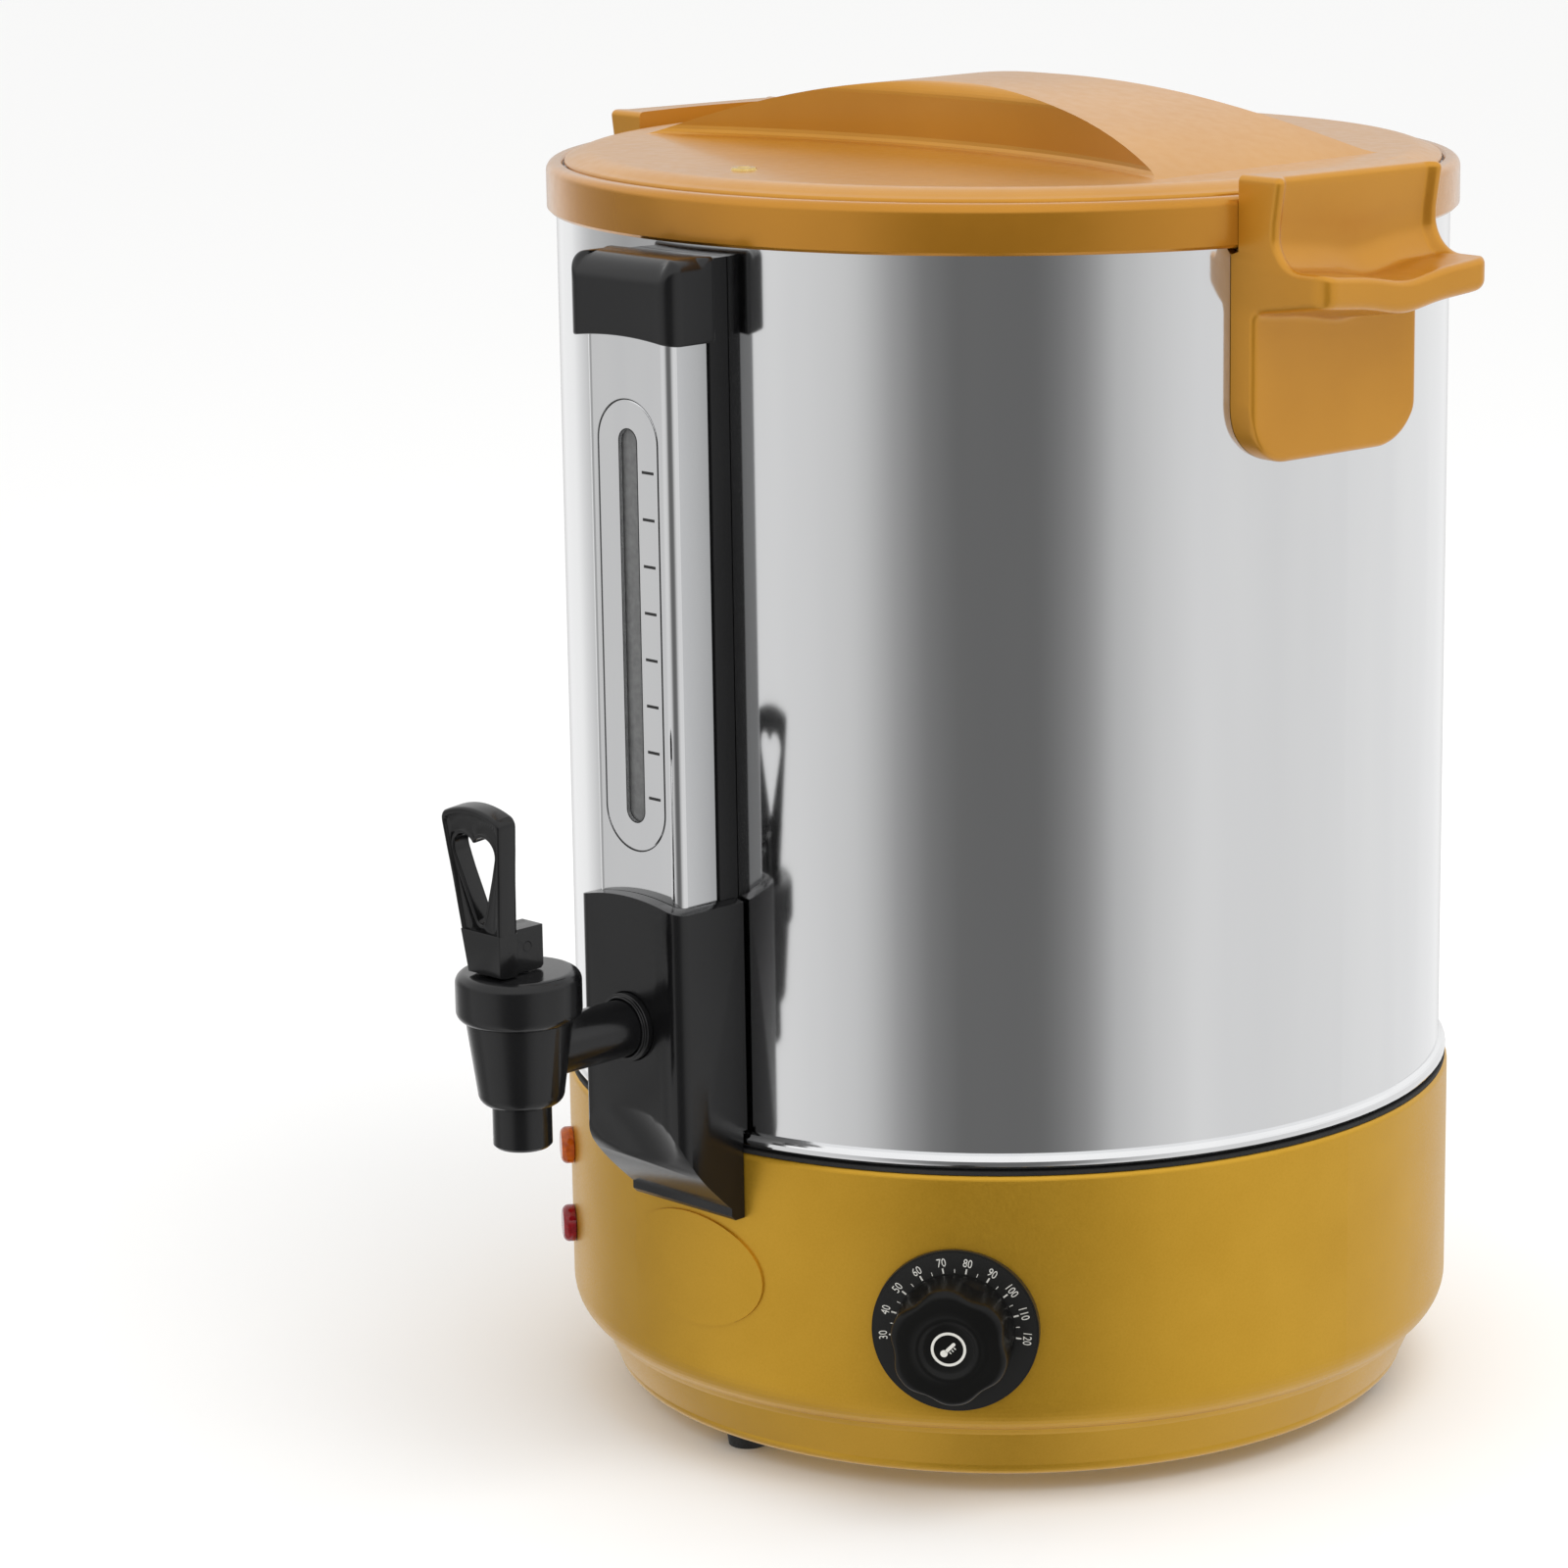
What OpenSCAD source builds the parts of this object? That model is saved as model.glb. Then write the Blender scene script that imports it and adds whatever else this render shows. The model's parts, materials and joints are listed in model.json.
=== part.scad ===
// Coffee urn: a double-walled steel vessel on a painted base, with a sight gauge, a lift tap,
// a thermostat dial and a loose lid. The tap faces -Y, the handles point about along X, the floor is z = 0.

/* [Vessel] */
// Outer radius of the steel jacket
jacket_r = 145; // [125:1:165]
// Height of the jacket, from its bead to the rim
jacket_h = 295.8; // [270:0.1:330]
// Thickness of the jacket and tank sheet
sheet_t = 1; // [0.6:0.1:1.4]
// Air gap between the jacket and the tank
wall_gap = 7; // [5:0.5:10]
// Depth of the tank, from its rim to its floor
tank_depth = 281; // [260:1:283]
// Height of the rolled bead at the foot of the jacket
bead_h = 5.3; // [3:0.1:8]
// How far the bead stands out from the jacket
bead_out = 2.4; // [1:0.1:3]
// Thickness of the gasket under the bead
gasket_t = 1.2; // [0.8:0.1:2.5]

/* [Base] */
// How far the painted skirt stands out from the jacket
skirt_out = 3; // [2.5:0.1:12]
// Height of the skirt
skirt_h = 104; // [95:1:125]
// Thickness of the skirt sheet
skirt_t = 1.2; // [0.8:0.1:2]
// Height of the narrower ring at the foot of the skirt
ring_h = 17.2; // [12:0.1:22]
// How far that ring lies inside the skirt where it leaves it
ring_in = 7.6; // [7:0.1:9]
// How far that ring lies inside the skirt at its lower edge
ring_low_in = 14; // [12.5:0.1:17]
// Height of the rubber feet
foot_h = 7; // [6:0.5:14]
// Radius of a rubber foot
foot_r = 7.5; // [6:0.1:9]
// Distance of the feet's centres inside the skirt
foot_in = 29; // [27:0.5:32]
// Turn of the feet from the tap, to the left
foot_turn = 3; // [0:0.5:30]
// Number of feet
foot_count = 3; // [3:1:5]
// Half the width of the raised oval on the skirt
oval_half_w = 29.5; // [25:0.5:38]
// Half the height of the raised oval
oval_half_h = 18.5; // [12:0.5:22]
// How far the oval stands out
oval_out = 0.8; // [0.4:0.1:1.5]
// Height of the oval's centre above the skirt's lower edge
oval_up = 62; // [50:1:66]

/* [Rim] */
// Height of the painted rim collar
collar_h = 15.5; // [12:0.5:22]
// How far the rim collar stands out from the jacket
collar_out = 3; // [2.6:0.1:12]
// Thickness of the collar wall
collar_t = 1.5; // [1:0.1:1.8]
// Width of the collar's top ring, out to its edge
collar_top_w = 5.4; // [4.5:0.1:7]

/* [Lid] */
// Gap between the lid and the collar
lid_gap = 0.5; // [0.3:0.1:1.5]
// Thickness of the lid moulding
lid_t = 2.2; // [1.6:0.1:3]
// Rise of the lid's field above its edge
field_rise = 2.5; // [1:0.1:4]
// Rise of the lid's bridge above the field
bridge_rise = 21.2; // [15:0.1:30]
// Distance of the bridge's ends inside the lid's edge
bridge_end_in = 30; // [26:0.5:45]
// Half the width of the bridge at its waist
bridge_half_w = 26; // [20:0.5:32]
// Radius of the finger scoops to either side of the bridge
scoop_r = 265; // [220:1:320]
// Rounding of the scoops' lips at the crown of the bridge
bridge_round = 5; // [3.5:0.5:8]
// Rounding at the foot of the bridge
bridge_foot = 3; // [1.5:0.5:5]
// Depth of the lid's plug below its plate
plug_depth = 12; // [8:0.5:18]
// Radius of the vent eyelet's flange
vent_r = 4.2; // [3.5:0.1:6]
// Distance of the vent inside the lid's edge
vent_in = 29.4; // [24:0.1:40]
// Angle of the vent from the tap, to the left
vent_angle = 2.3; // [0:0.1:12]
// Distance of the lid screws inside the plug
lid_screw_in = 22.5; // [17:0.5:30]

/* [Handles] */
// Half the width of a handle
handle_half_w = 36.2; // [32:0.1:42]
// Turn of the handles from square, towards the tap
handle_turn = 4.5; // [0:0.5:8]
// How far a handle's plate stands out from the jacket
plate_out = 5.2; // [4.5:0.1:8]
// How far a handle's upright stands out from the jacket
upright_out = 13.2; // [11:0.1:17]
// How far a handle's lip stands out from the jacket
lip_out = 33.4; // [30:0.1:45]
// Height of a handle's plate below the collar
handle_drop = 66; // [60:1:80]
// Height of a handle above the collar
handle_rise = 6.5; // [4:0.5:10]
// Thickness of a handle's lip
lip_t = 8.7; // [7:0.1:11]
// Height of the lip's underside, at its tip, above the foot of the plate
lip_up = 53; // [50:0.1:56]
// Fall of the lip's underside from its tip to the plate
lip_drop = 6.5; // [2:0.5:8]
// Depth of the finger waves along the lip
wave_depth = 2.6; // [1:0.1:4]
// Number of finger waves
wave_count = 3; // [2:1:4]

/* [Gauge] */
// Half the width of the bright gauge cover
gauge_half_w = 18.8; // [16:0.1:22]
// How far the gauge cover stands out from the jacket
gauge_out = 23; // [21:0.5:30]
// Thickness of the gauge cover's sheet
gauge_t = 1; // [0.6:0.1:1.4]
// Width of the viewing slot
slot_w = 7.6; // [5:0.1:9]
// Distance from the cap down to the viewing slot
slot_below_cap = 27; // [20:1:40]
// Distance from the tap cover up to the viewing slot
slot_above_cover = 26; // [18:1:40]
// Width of the oval groove round the slot
groove_w = 27; // [20:0.5:32]
// Distance of the groove from the slot's ends
groove_past_slot = 9.5; // [7:0.5:14]
// Outer radius of the sight tube
tube_r = 5; // [4.2:0.1:5.8]
// Wall of the sight tube
tube_t = 1.5; // [1:0.1:2]
// Height of the cap on top of the gauge
cap_h = 26; // [22:0.5:34]
// Gap between the cap and the collar
cap_gap = 2; // [1:0.5:8]
// How far the backing strip stands out from the jacket
strip_out = 6.5; // [5.5:0.1:8]
// Half the width of the backing strip behind the gauge
strip_half_w = 19.6; // [19:0.1:20.4]

/* [Tap] */
// Distance from the jacket to the axis of the tap
tap_out = 73; // [63:0.5:85]
// Height of the tap's shank above the skirt
shank_up = 43; // [38:0.5:55]
// Outer radius of the shank
shank_r = 9; // [8.2:0.1:10]
// Radius of the waterway in the shank
shank_bore_r = 5.6; // [4:0.1:6.5]
// Radius of the bonnet
bonnet_r = 19.3; // [18.4:0.1:22]
// Height of the bonnet
bonnet_h = 15.5; // [14:0.5:20]
// Height of the bonnet's lower edge above the shank's axis
bonnet_up = 11.8; // [10.5:0.1:16]
// Radius of the tap's body under the bonnet
body_top_r = 16.4; // [15:0.1:17.4]
// Radius of the tap's body above the spout
body_low_r = 13.3; // [12.2:0.1:14.5]
// Depth of the tap's body below the shank's axis
body_drop = 14.9; // [14:0.1:22]
// Outer radius of the spout
spout_r = 9.1; // [7.5:0.1:9.8]
// Length of the spout
spout_l = 13.4; // [8:0.1:24]
// Radius of the spout's waterway
spout_bore_r = 5.5; // [4:0.1:6]
// Radius of the stem
stem_r = 3; // [2.5:0.1:3.4]
// Height of the lever above the bonnet
lever_h = 54.4; // [46:0.2:62]
// Width of the lever at its top
lever_top_w = 26; // [22:0.5:30]
// Width of the lever at its foot
lever_foot_w = 13; // [12:0.5:16]
// Thickness of the lever's blade
lever_t = 7.4; // [5.5:0.1:8.5]
// Outward lean of the blade
lever_lean = 5; // [3:0.5:10]
// Rise of the stem for each radian that the lever tilts
lift_per_radian = 10; // [8:0.5:11]
// How far the lever tilts
lever_tilt_max = 28; // [20:1:30]
// Height of the lever's pin above the bonnet
pin_up = 8; // [7:0.5:9]
// Radius of the lever's pin
pin_r = 1.5; // [1.2:0.1:1.8]
// Half the width of the tap cover
cover_half_w = 22.8; // [22:0.1:27]
// How far the tap cover stands out from the jacket
cover_out = 28; // [26:0.5:33]
// Height of the tap cover above the shank's axis
cover_up = 38.5; // [35:0.5:50]
// How far the tap cover reaches down over the skirt
cover_drop = 21; // [15:0.5:28]

/* [Controls] */
// Angle from the tap to the dial on one side and the lamps on the other
control_angle = 36.5; // [33:0.5:45]
// Height of the dial's centre above the skirt's lower edge
dial_up = 54; // [45:0.5:60]
// Radius of the dial plate
dial_r = 26.3; // [24:0.1:30]
// How far the dial plate stands out from the skirt
dial_t = 2; // [1.5:0.1:3]
// Radius of the knob
knob_r = 18.8; // [18.2:0.1:21]
// Height of the knob's face above the dial plate
knob_h = 17.5; // [15:0.5:22]
// Number of finger flutes round the knob
flute_count = 6; // [5:1:9]
// Depth of the flutes
flute_depth = 1.5; // [0.8:0.1:2]
// Radius of a lamp lens
lamp_r = 6.2; // [5:0.1:8]
// How far a lamp lens stands out from the skirt
lamp_out = 4.2; // [3.6:0.1:8]
// Height of the upper lamp above the skirt's lower edge
upper_lamp_up = 77.8; // [72:0.1:86]
// Height of the lower lamp above the skirt's lower edge
lower_lamp_up = 50.5; // [40:0.5:56]
// Height of the power inlet above the skirt's lower edge
inlet_up = 50; // [36:1:70]
// Distance of the heating ring inside the heat-spreading plate
element_in = 15; // [8:1:25]
// Radius of the heating tube
element_r = 4; // [3:0.1:5]
// Distance of the heat-spreading plate's edge inside the tank
heater_in = 37; // [27:1:40]

/* [Clearances] */
// Room between pieces that stay put
fit = 0.2; // [0.1:0.05:0.3]
// Room round running shafts and pins
run = 0.05; // [0.02:0.01:0.1]
// Room between pieces that move past each other
free = 0.3; // [0.3:0.05:0.5]

/* [Hidden] */
$fn = 64;

gold_paint = "#b8922f";
gold_plastic = "#c98f35";
steel = "#cfd0d2";
black = "#242424";
rubber_black = "#1b1b1b";
silicone = "#d8d4c8";
brass = "#c8a048";

// Heights of the main levels
skirt_top = foot_h + skirt_h;
jacket_z = skirt_top + gasket_t;
bead_top = jacket_z + bead_h;
jacket_top = jacket_z + jacket_h;
flange_top = jacket_top + sheet_t;
collar_over = 2.5;
collar_top = flange_top + collar_over;
collar_z = collar_top - collar_h;
tank_z = flange_top - tank_depth - sheet_t;
seal_t = 1;
plate_z = flange_top + free + seal_t;
plate_top = plate_z + lid_t;
border_w = 10;
field_z = plate_top + field_rise;
crown_z = field_z + bridge_rise;
heater_t = 3;
heater_z = tank_z - heater_t;

// Radii of the base, the vessel and the lid
skirt_r = jacket_r + skirt_out;
ring_r = skirt_r - ring_in;
ring_low_r = skirt_r - ring_low_in;
foot_circle_r = skirt_r - foot_in;
collar_r = jacket_r + collar_out;
tank_r = jacket_r - sheet_t - wall_gap;
heater_r = tank_r - heater_in;
element_circle_r = heater_r - element_in;
tank_in_r = tank_r - sheet_t;
flange_r = collar_r - collar_t - fit;
collar_in_r = collar_r - collar_top_w;
lid_r = collar_in_r - lid_gap;
plug_r = tank_in_r - 1.5;
plug_t = 2.5;
lid_screw_circle_r = plug_r - lid_screw_in;
vent_circle_r = lid_r - vent_in;
bridge_half_l = lid_r - bridge_end_in;
bridge_r = (bridge_half_l * bridge_half_l + bridge_rise * bridge_rise) / (2 * bridge_rise);
liner_r = plug_r - plug_t - fit;
liner_z = plate_z - plug_depth + 4;
boss_r = 4;
lid_screw_angles = [45 : 90 : 315];
vent_barrel_r = vent_r - 1.6;

// Distances of the gauge and the tap from the axis
strip_front = jacket_r + strip_out;
gauge_front = jacket_r + gauge_out;
cover_front = jacket_r + cover_out;
tap_reach = jacket_r + tap_out;

// Levels of the tap and the gauge
shank_z = skirt_top + shank_up;
bonnet_z = shank_z + bonnet_up;
bonnet_top = bonnet_z + bonnet_h;
pin_z = bonnet_top + pin_up;
body_z = shank_z - body_drop;
spout_z = body_z - spout_l;
cover_top = shank_z + cover_up;
cover_z = skirt_top - cover_drop;
cap_top = collar_z - cap_gap;
cap_z = cap_top - cap_h;
lap = 5;
gauge_corner = 3.5;
cap_out = 3.4;
cap_wall = 4.3;
slot_low = cover_top + slot_above_cover;
slot_high = cap_z - slot_below_cap;
washer_t = 2;
shank_hole_r = shank_r + 0.6;
shank_in = 14;
tube_y = (strip_front + washer_t + gauge_front) / 2;
seal_wall = 1.3;
socket_r = tube_r + seal_wall + 0.9;
seal_l = 12;
tee_front = gauge_front - 0.4;
tee_top = shank_z + 32;
tube_low = tee_top - 9;
tube_high = cap_z + 14;
ring_out = 1.8;

// The tap's seat and stem
seat_z = body_z + 4;
cup_h = 8.5;
cup_r = 8;
collar_disc_t = 2;
bonnet_roof = 4;
tongue_half_w = 1.5;
tongue_l = 10.5;
lever_face = 13.5;
lever_heel = 6.3;
spring_low = seat_z + cup_h + collar_disc_t + 0.5;
spring_high = bonnet_top - bonnet_roof;

// Where the controls sit
dial_z = foot_h + dial_up;
upper_lamp_z = foot_h + upper_lamp_up;
lower_lamp_z = foot_h + lower_lamp_up;
inlet_z = foot_h + inlet_up;
oval_z = foot_h + oval_up;
screw_r = 2;
screw_head_r = 3.6;
screw_head_h = 2.2;
foot_web = 3;
dial_screw_x = 12;
bracket_z = -skirt_t - 1.6;
port_z = bracket_z - 12;
port_up = 15;
pipe_r = 1;
lens_shank_r = lamp_r - 1.2;
lens_bore_r = lamp_r - 2.4;
lens_in = 4;
inlet_half_w = 25;
inlet_half_h = 12;
inlet_out = 2.5;
inlet_block = [27, 20];
inlet_screw_x = 20;
pin_size = [2, 4];
pin_places = [[-7, -2], [7, -2], [0, 2]];
handle_z = collar_z - handle_drop;
handle_screw_zs = [handle_z + 18, handle_z + 40];
handle_top = collar_top + handle_rise;
handle_root_x = jacket_r - 20;
plate_x = jacket_r + plate_out;
upright_x = jacket_r + upright_out;
lip_x = jacket_r + lip_out;
foot_screw_l = 8;
handle_screw_l = 5;
dial_screw_l = 12;
inlet_screw_l = 8;
lid_screw_l = 7;
past = 9;

// The vessel's axis stands behind the origin, so that the origin lies under the middle of the object
front_reach = tap_reach + lever_face + lever_h * sin(lever_lean);
back_reach = skirt_r + inlet_out + screw_head_h;
axis_y = (front_reach - back_reach) / 2;

// Points of an arc about [x, y], from angle a to angle b
function arc(x, y, r, a, b, n = 8) =
    [for (i = [0 : n]) let (t = a + (b - a) * i / n) [x + r * cos(t), y + r * sin(t)]];

// Puts pieces round the vessel's axis
module on_axis() translate([0, axis_y, 0]) children();

// Faces outwards from the skirt, with local z outwards and local y up
module on_skirt(angle, z) rotate([0, 0, angle]) translate([0, -skirt_r, z]) rotate([90, 0, 0]) children();

// Lays a cylinder along -Y, from the distance y0 to the distance y1 from the axis
module along_tap(y0, y1, r) translate([0, -y0, shank_z]) rotate([90, 0, 0]) cylinder(r = r, h = y1 - y0);

// A disc-shaped ring
module ring(r_in, r_out, z0, z1) {
    translate([0, 0, z0])
        difference() {
            cylinder(r = r_out, h = z1 - z0, $fn = 128);
            translate([0, 0, -1]) cylinder(r = r_in, h = z1 - z0 + 2, $fn = 128);
        }
}

// A rounded rectangle
module rounded(w, h, r) {
    square([w - 2 * r, h], center = true);
    square([w, h - 2 * r], center = true);
    for (x = [-1, 1], y = [-1, 1]) translate([x * (w / 2 - r), y * (h / 2 - r)]) circle(r = r);
}

// An upright slot outline from height z0 to height z1
module stadium(w, z0, z1) {
    translate([-w / 2, z0 + w / 2]) square([w, z1 - z0 - w]);
    translate([0, z0 + w / 2]) circle(d = w);
    translate([0, z1 - w / 2]) circle(d = w);
}

// Stands an outline of X and Z upright and runs it from the distance y0 to the distance y1 in front
module upright(y0, y1) translate([0, -y0, 0]) rotate([90, 0, 0]) linear_extrude(y1 - y0) children();

// Runs a side outline of forward distance and height across the width w
module sideways(w) rotate([90, 0, -90]) translate([0, 0, -w / 2]) linear_extrude(w) children();

// A pan-head screw along local z, with its head above z = 0
module screw(l) {
    translate([0, 0, -l]) cylinder(r = screw_r, h = l);
    difference() {
        cylinder(r1 = screw_head_r, r2 = screw_head_r * 0.75, h = screw_head_h);
        for (a = [0, 90]) rotate(a) translate([-2, -0.4, screw_head_h - 1]) cube([4, 0.8, 2]);
    }
}

// A pair of screw holes along local z, at x to either side
module screw_pair_holes(x) {
    for (side = [-1, 1]) translate([side * x, 0, -past]) cylinder(r = screw_r + fit, h = 2 * past);
}

// Base

module skirt_outline(t) {
    low_round = 4;
    step_round = 12.5;
    step_start = -62;
    flange_in_r = jacket_r - 7;
    polygon(concat(
        [[ring_low_r - 26, foot_h], [ring_low_r - low_round, foot_h]],
        arc(ring_low_r - low_round, foot_h + low_round, low_round, -90, 0),
        [[ring_r - 0.6, foot_h + ring_h - 0.8], [ring_r, foot_h + ring_h]],
        arc(skirt_r - step_round, foot_h + ring_h + step_round, step_round, step_start, 0),
        arc(skirt_r - 2, skirt_top - 2, 2, 0, 90),
        [[flange_in_r, skirt_top], [flange_in_r, skirt_top - t], [skirt_r - 2.6, skirt_top - t]],
        [[skirt_r - t, skirt_top - 3]],
        arc(skirt_r - step_round, foot_h + ring_h + step_round, step_round - t, 0, step_start),
        [[ring_r - t, foot_h + ring_h + t], [ring_r - 0.6 - t, foot_h + ring_h]],
        arc(ring_low_r - low_round, foot_h + low_round, low_round - t, 0, -90),
        [[ring_low_r - 26, foot_h + t]]
    ));
}

module base_skirt() {
    color(gold_paint) on_axis() difference() {
        union() {
            rotate_extrude($fn = 128) skirt_outline(skirt_t);
            intersection() {
                ring(skirt_r - skirt_t / 2, skirt_r + oval_out, foot_h, skirt_top);
                upright(0, skirt_r + 5) translate([0, oval_z])
                    polygon([for (i = [0 : 47]) [oval_half_w * cos(i * 7.5), oval_half_h * sin(i * 7.5)]]);
            }
        }
        on_skirt(control_angle, dial_z) {
            translate([0, 0, -past]) cylinder(r = stem_r + 3, h = 2 * past);
            screw_pair_holes(dial_screw_x);
        }
        for (z = [upper_lamp_z, lower_lamp_z])
            on_skirt(-control_angle, z) translate([0, 0, -past])
                cylinder(r = lens_shank_r + fit, h = 2 * past);
        on_skirt(180, inlet_z) {
            translate([0, 0, -past]) linear_extrude(2 * past)
                square(inlet_block + 2 * fit * [1, 1], center = true);
            screw_pair_holes(inlet_screw_x);
        }
        foot_holes();
    }
}

// Puts a piece at each foot's place
module at_feet(z) {
    for (i = [0 : foot_count - 1])
        rotate([0, 0, i * 360 / foot_count - foot_turn]) translate([0, -foot_circle_r, z]) children();
}

module foot_holes() at_feet(foot_h - 1) cylinder(r = screw_r + fit, h = foot_screw_l);

module base_plate() {
    plate_r = ring_low_r - 8;
    plate_t = 1.2;
    raised_r = foot_circle_r - 30;
    raised_t = 1;
    color(steel) on_axis() difference() {
        translate([0, 0, foot_h + skirt_t]) {
            cylinder(r = plate_r, h = plate_t, $fn = 128);
            cylinder(r = raised_r, h = plate_t + raised_t);
        }
        foot_holes();
        for (a = [0 : 30 : 330], r = [40, 58, 76])
            rotate([0, 0, a]) translate([r, 0, 0]) linear_extrude(foot_h + 20)
                rotate(90) translate([0, -r * 0.08]) stadium(4, -2 - r * 0.06, 2 + r * 0.22);
    }
}

module rubber_feet() {
    color(rubber_black) on_axis() at_feet(0) difference() {
        cylinder(r1 = foot_r * 0.86, r2 = foot_r, h = foot_h);
        translate([0, 0, -1]) cylinder(r = screw_head_r + 0.6, h = foot_h - foot_web + 1);
        cylinder(r = screw_r + fit, h = foot_h + 1);
    }
}

module foot_screws() {
    color(steel) on_axis() at_feet(foot_h - foot_web) mirror([0, 0, 1]) screw(foot_screw_l);
}

module base_gasket() {
    color(rubber_black) on_axis() ring(jacket_r - 5, jacket_r + bead_out - 0.2, skirt_top, jacket_z);
}

// Vessel

module outer_shell() {
    color(steel) on_axis() difference() {
        rotate_extrude($fn = 128) polygon(concat(
            [[jacket_r - sheet_t, jacket_z], [jacket_r, jacket_z]],
            [for (i = [0 : 10]) let (t = i / 10)
                [jacket_r + bead_out * pow(sin(180 * t), 0.6), jacket_z + bead_h * t]],
            [[jacket_r, jacket_top], [jacket_r - sheet_t, jacket_top]]
        ));
        along_tap(jacket_r - past, jacket_r + past, shank_hole_r);
        handle_screw_holes(jacket_r - past, jacket_r + past);
    }
}

// Turns the handles and their screws a little towards the tap
module handle_place(side) rotate([0, 0, 90 - side * 90 - handle_turn]) children();

module handle_screw_holes(x0, x1) {
    for (side = [-1, 1], z = handle_screw_zs)
        handle_place(side) translate([x0, 0, z]) rotate([0, 90, 0]) cylinder(r = screw_r + fit, h = x1 - x0);
}

module inner_tank() {
    floor_round = 12;
    color(steel) on_axis() difference() {
        rotate_extrude($fn = 128) polygon(concat(
            [[0, tank_z], [tank_r - floor_round, tank_z]],
            arc(tank_r - floor_round, tank_z + floor_round, floor_round, -90, 0),
            [[tank_r, jacket_top], [flange_r, jacket_top], [flange_r, flange_top], [tank_in_r, flange_top]],
            arc(tank_r - floor_round, tank_z + floor_round, floor_round - sheet_t, 0, -90),
            [[0, tank_z + sheet_t]]
        ));
        along_tap(tank_r - past, tank_r + past, shank_hole_r);
    }
}

module rim_collar() {
    edge = 3;
    color(gold_paint) on_axis() rotate_extrude($fn = 128) polygon(concat(
        [[jacket_r + fit, collar_z], [collar_r - 1, collar_z], [collar_r, collar_z + 1]],
        arc(collar_r - edge, collar_top - edge, edge, 0, 90),
        [[collar_in_r + 0.8, collar_top], [collar_in_r, collar_top - 0.8], [collar_in_r, flange_top]],
        [[collar_r - collar_t - 0.1, flange_top], [collar_r - collar_t, flange_top - 0.1]],
        [[collar_r - collar_t, collar_z + collar_t], [jacket_r + fit, collar_z + collar_t]]
    ));
}

// The handle seen from its side: a plate, a concave upright and an outward lip
module handle_side() {
    cove = 9;
    fillet = 4;
    flare = 2.2;
    edge = 2;
    nose = lip_t / 2;
    lip_z = handle_z + lip_up;
    polygon(concat(
        [[handle_root_x, handle_z], [plate_x - 1.5, handle_z], [plate_x, handle_z + 1.5]],
        arc(plate_x + fillet, lip_z - lip_drop - fillet, fillet, 180, 100),
        arc(lip_x - nose, lip_z + nose, nose, -80, 90),
        arc(upright_x + cove, lip_z + lip_t + cove, cove, -90, -178),
        arc(upright_x + flare - edge, handle_top - edge, edge, 0, 90),
        [[handle_root_x, handle_top]]
    ));
}

// The handle seen from above, with finger waves along the lip
module handle_plan() {
    steps = 12 * wave_count;
    corner = 6;
    corner_x = lip_x - 8;
    polygon(concat(
        [[handle_root_x, -handle_half_w]],
        arc(corner_x, -handle_half_w + corner, corner, -90, -20),
        [for (i = [0 : steps]) let (t = i / steps)
            [lip_x - wave_depth * (0.5 - 0.5 * cos(360 * wave_count * t)),
             (2 * t - 1) * (handle_half_w - corner + 1)]],
        arc(corner_x, handle_half_w - corner, corner, 20, 90),
        [[handle_root_x, handle_half_w]]
    ));
}

module handle_front() {
    corner = 16;
    translate([-handle_half_w, handle_z + corner])
        square([2 * handle_half_w, handle_top - handle_z - corner]);
    translate([-handle_half_w + corner, handle_z]) square([2 * (handle_half_w - corner), corner + 1]);
    for (x = [-1, 1]) translate([x * (handle_half_w - corner), handle_z + corner]) circle(r = corner);
}

module handle() {
    skin = 1;
    difference() {
        intersection() {
            rotate([90, 0, 0]) translate([0, 0, -handle_half_w])
                linear_extrude(2 * handle_half_w) handle_side();
            translate([0, 0, handle_z - 1]) linear_extrude(handle_top - handle_z + 2) handle_plan();
            rotate([90, 0, 90]) linear_extrude(lip_x + 5) handle_front();
        }
        translate([0, 0, handle_z - 1]) cylinder(r = jacket_r + fit, h = collar_top, $fn = 128);
        translate([0, 0, collar_z - fit]) cylinder(r = collar_r + fit, h = collar_top, $fn = 128);
        for (z = handle_screw_zs) translate([0, 0, z]) rotate([0, 90, 0])
            cylinder(r = screw_r + fit, h = plate_x - skin);
    }
}

module handle_right() {
    color(gold_plastic) on_axis() handle_place(1) handle();
}

module handle_left() {
    color(gold_plastic) on_axis() handle_place(-1) handle();
}

module handle_screws() {
    head_gap = 0.15;
    color(steel) on_axis()
        for (side = [-1, 1], z = handle_screw_zs)
            handle_place(side) translate([jacket_r - sheet_t - head_gap, 0, z])
                rotate([0, -90, 0]) screw(handle_screw_l);
}

// Gauge

module gauge_strip() {
    strip_low = bead_top + 1;
    rail_t = 1.8;
    rail_x = gauge_half_w - gauge_t - fit - rail_t / 2;
    rail_out = 6;
    color(black) on_axis() difference() {
        union() {
            upright(0, strip_front) translate([-strip_half_w, strip_low])
                square([2 * strip_half_w, cap_top - 1 - strip_low]);
            for (side = [-1, 1])
                translate([side * rail_x - rail_t / 2, -strip_front - rail_out, cover_top + 1])
                    cube([rail_t, rail_out + 1, cap_z - cover_top - 2]);
        }
        translate([0, 0, jacket_z]) cylinder(r = jacket_r + fit, h = jacket_h, $fn = 128);
        along_tap(jacket_r - past, strip_front + past, shank_hole_r);
    }
}

// The bright cover seen from above: a U open to the rear
module gauge_plan(w, front, r) {
    rear = strip_front + fit;
    translate([-w, -front + r]) square([2 * w, front - r - rear]);
    translate([-w + r, -front]) square([2 * (w - r), r + 1]);
    for (x = [-1, 1]) translate([x * (w - r), -front + r]) circle(r = r);
}

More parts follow.
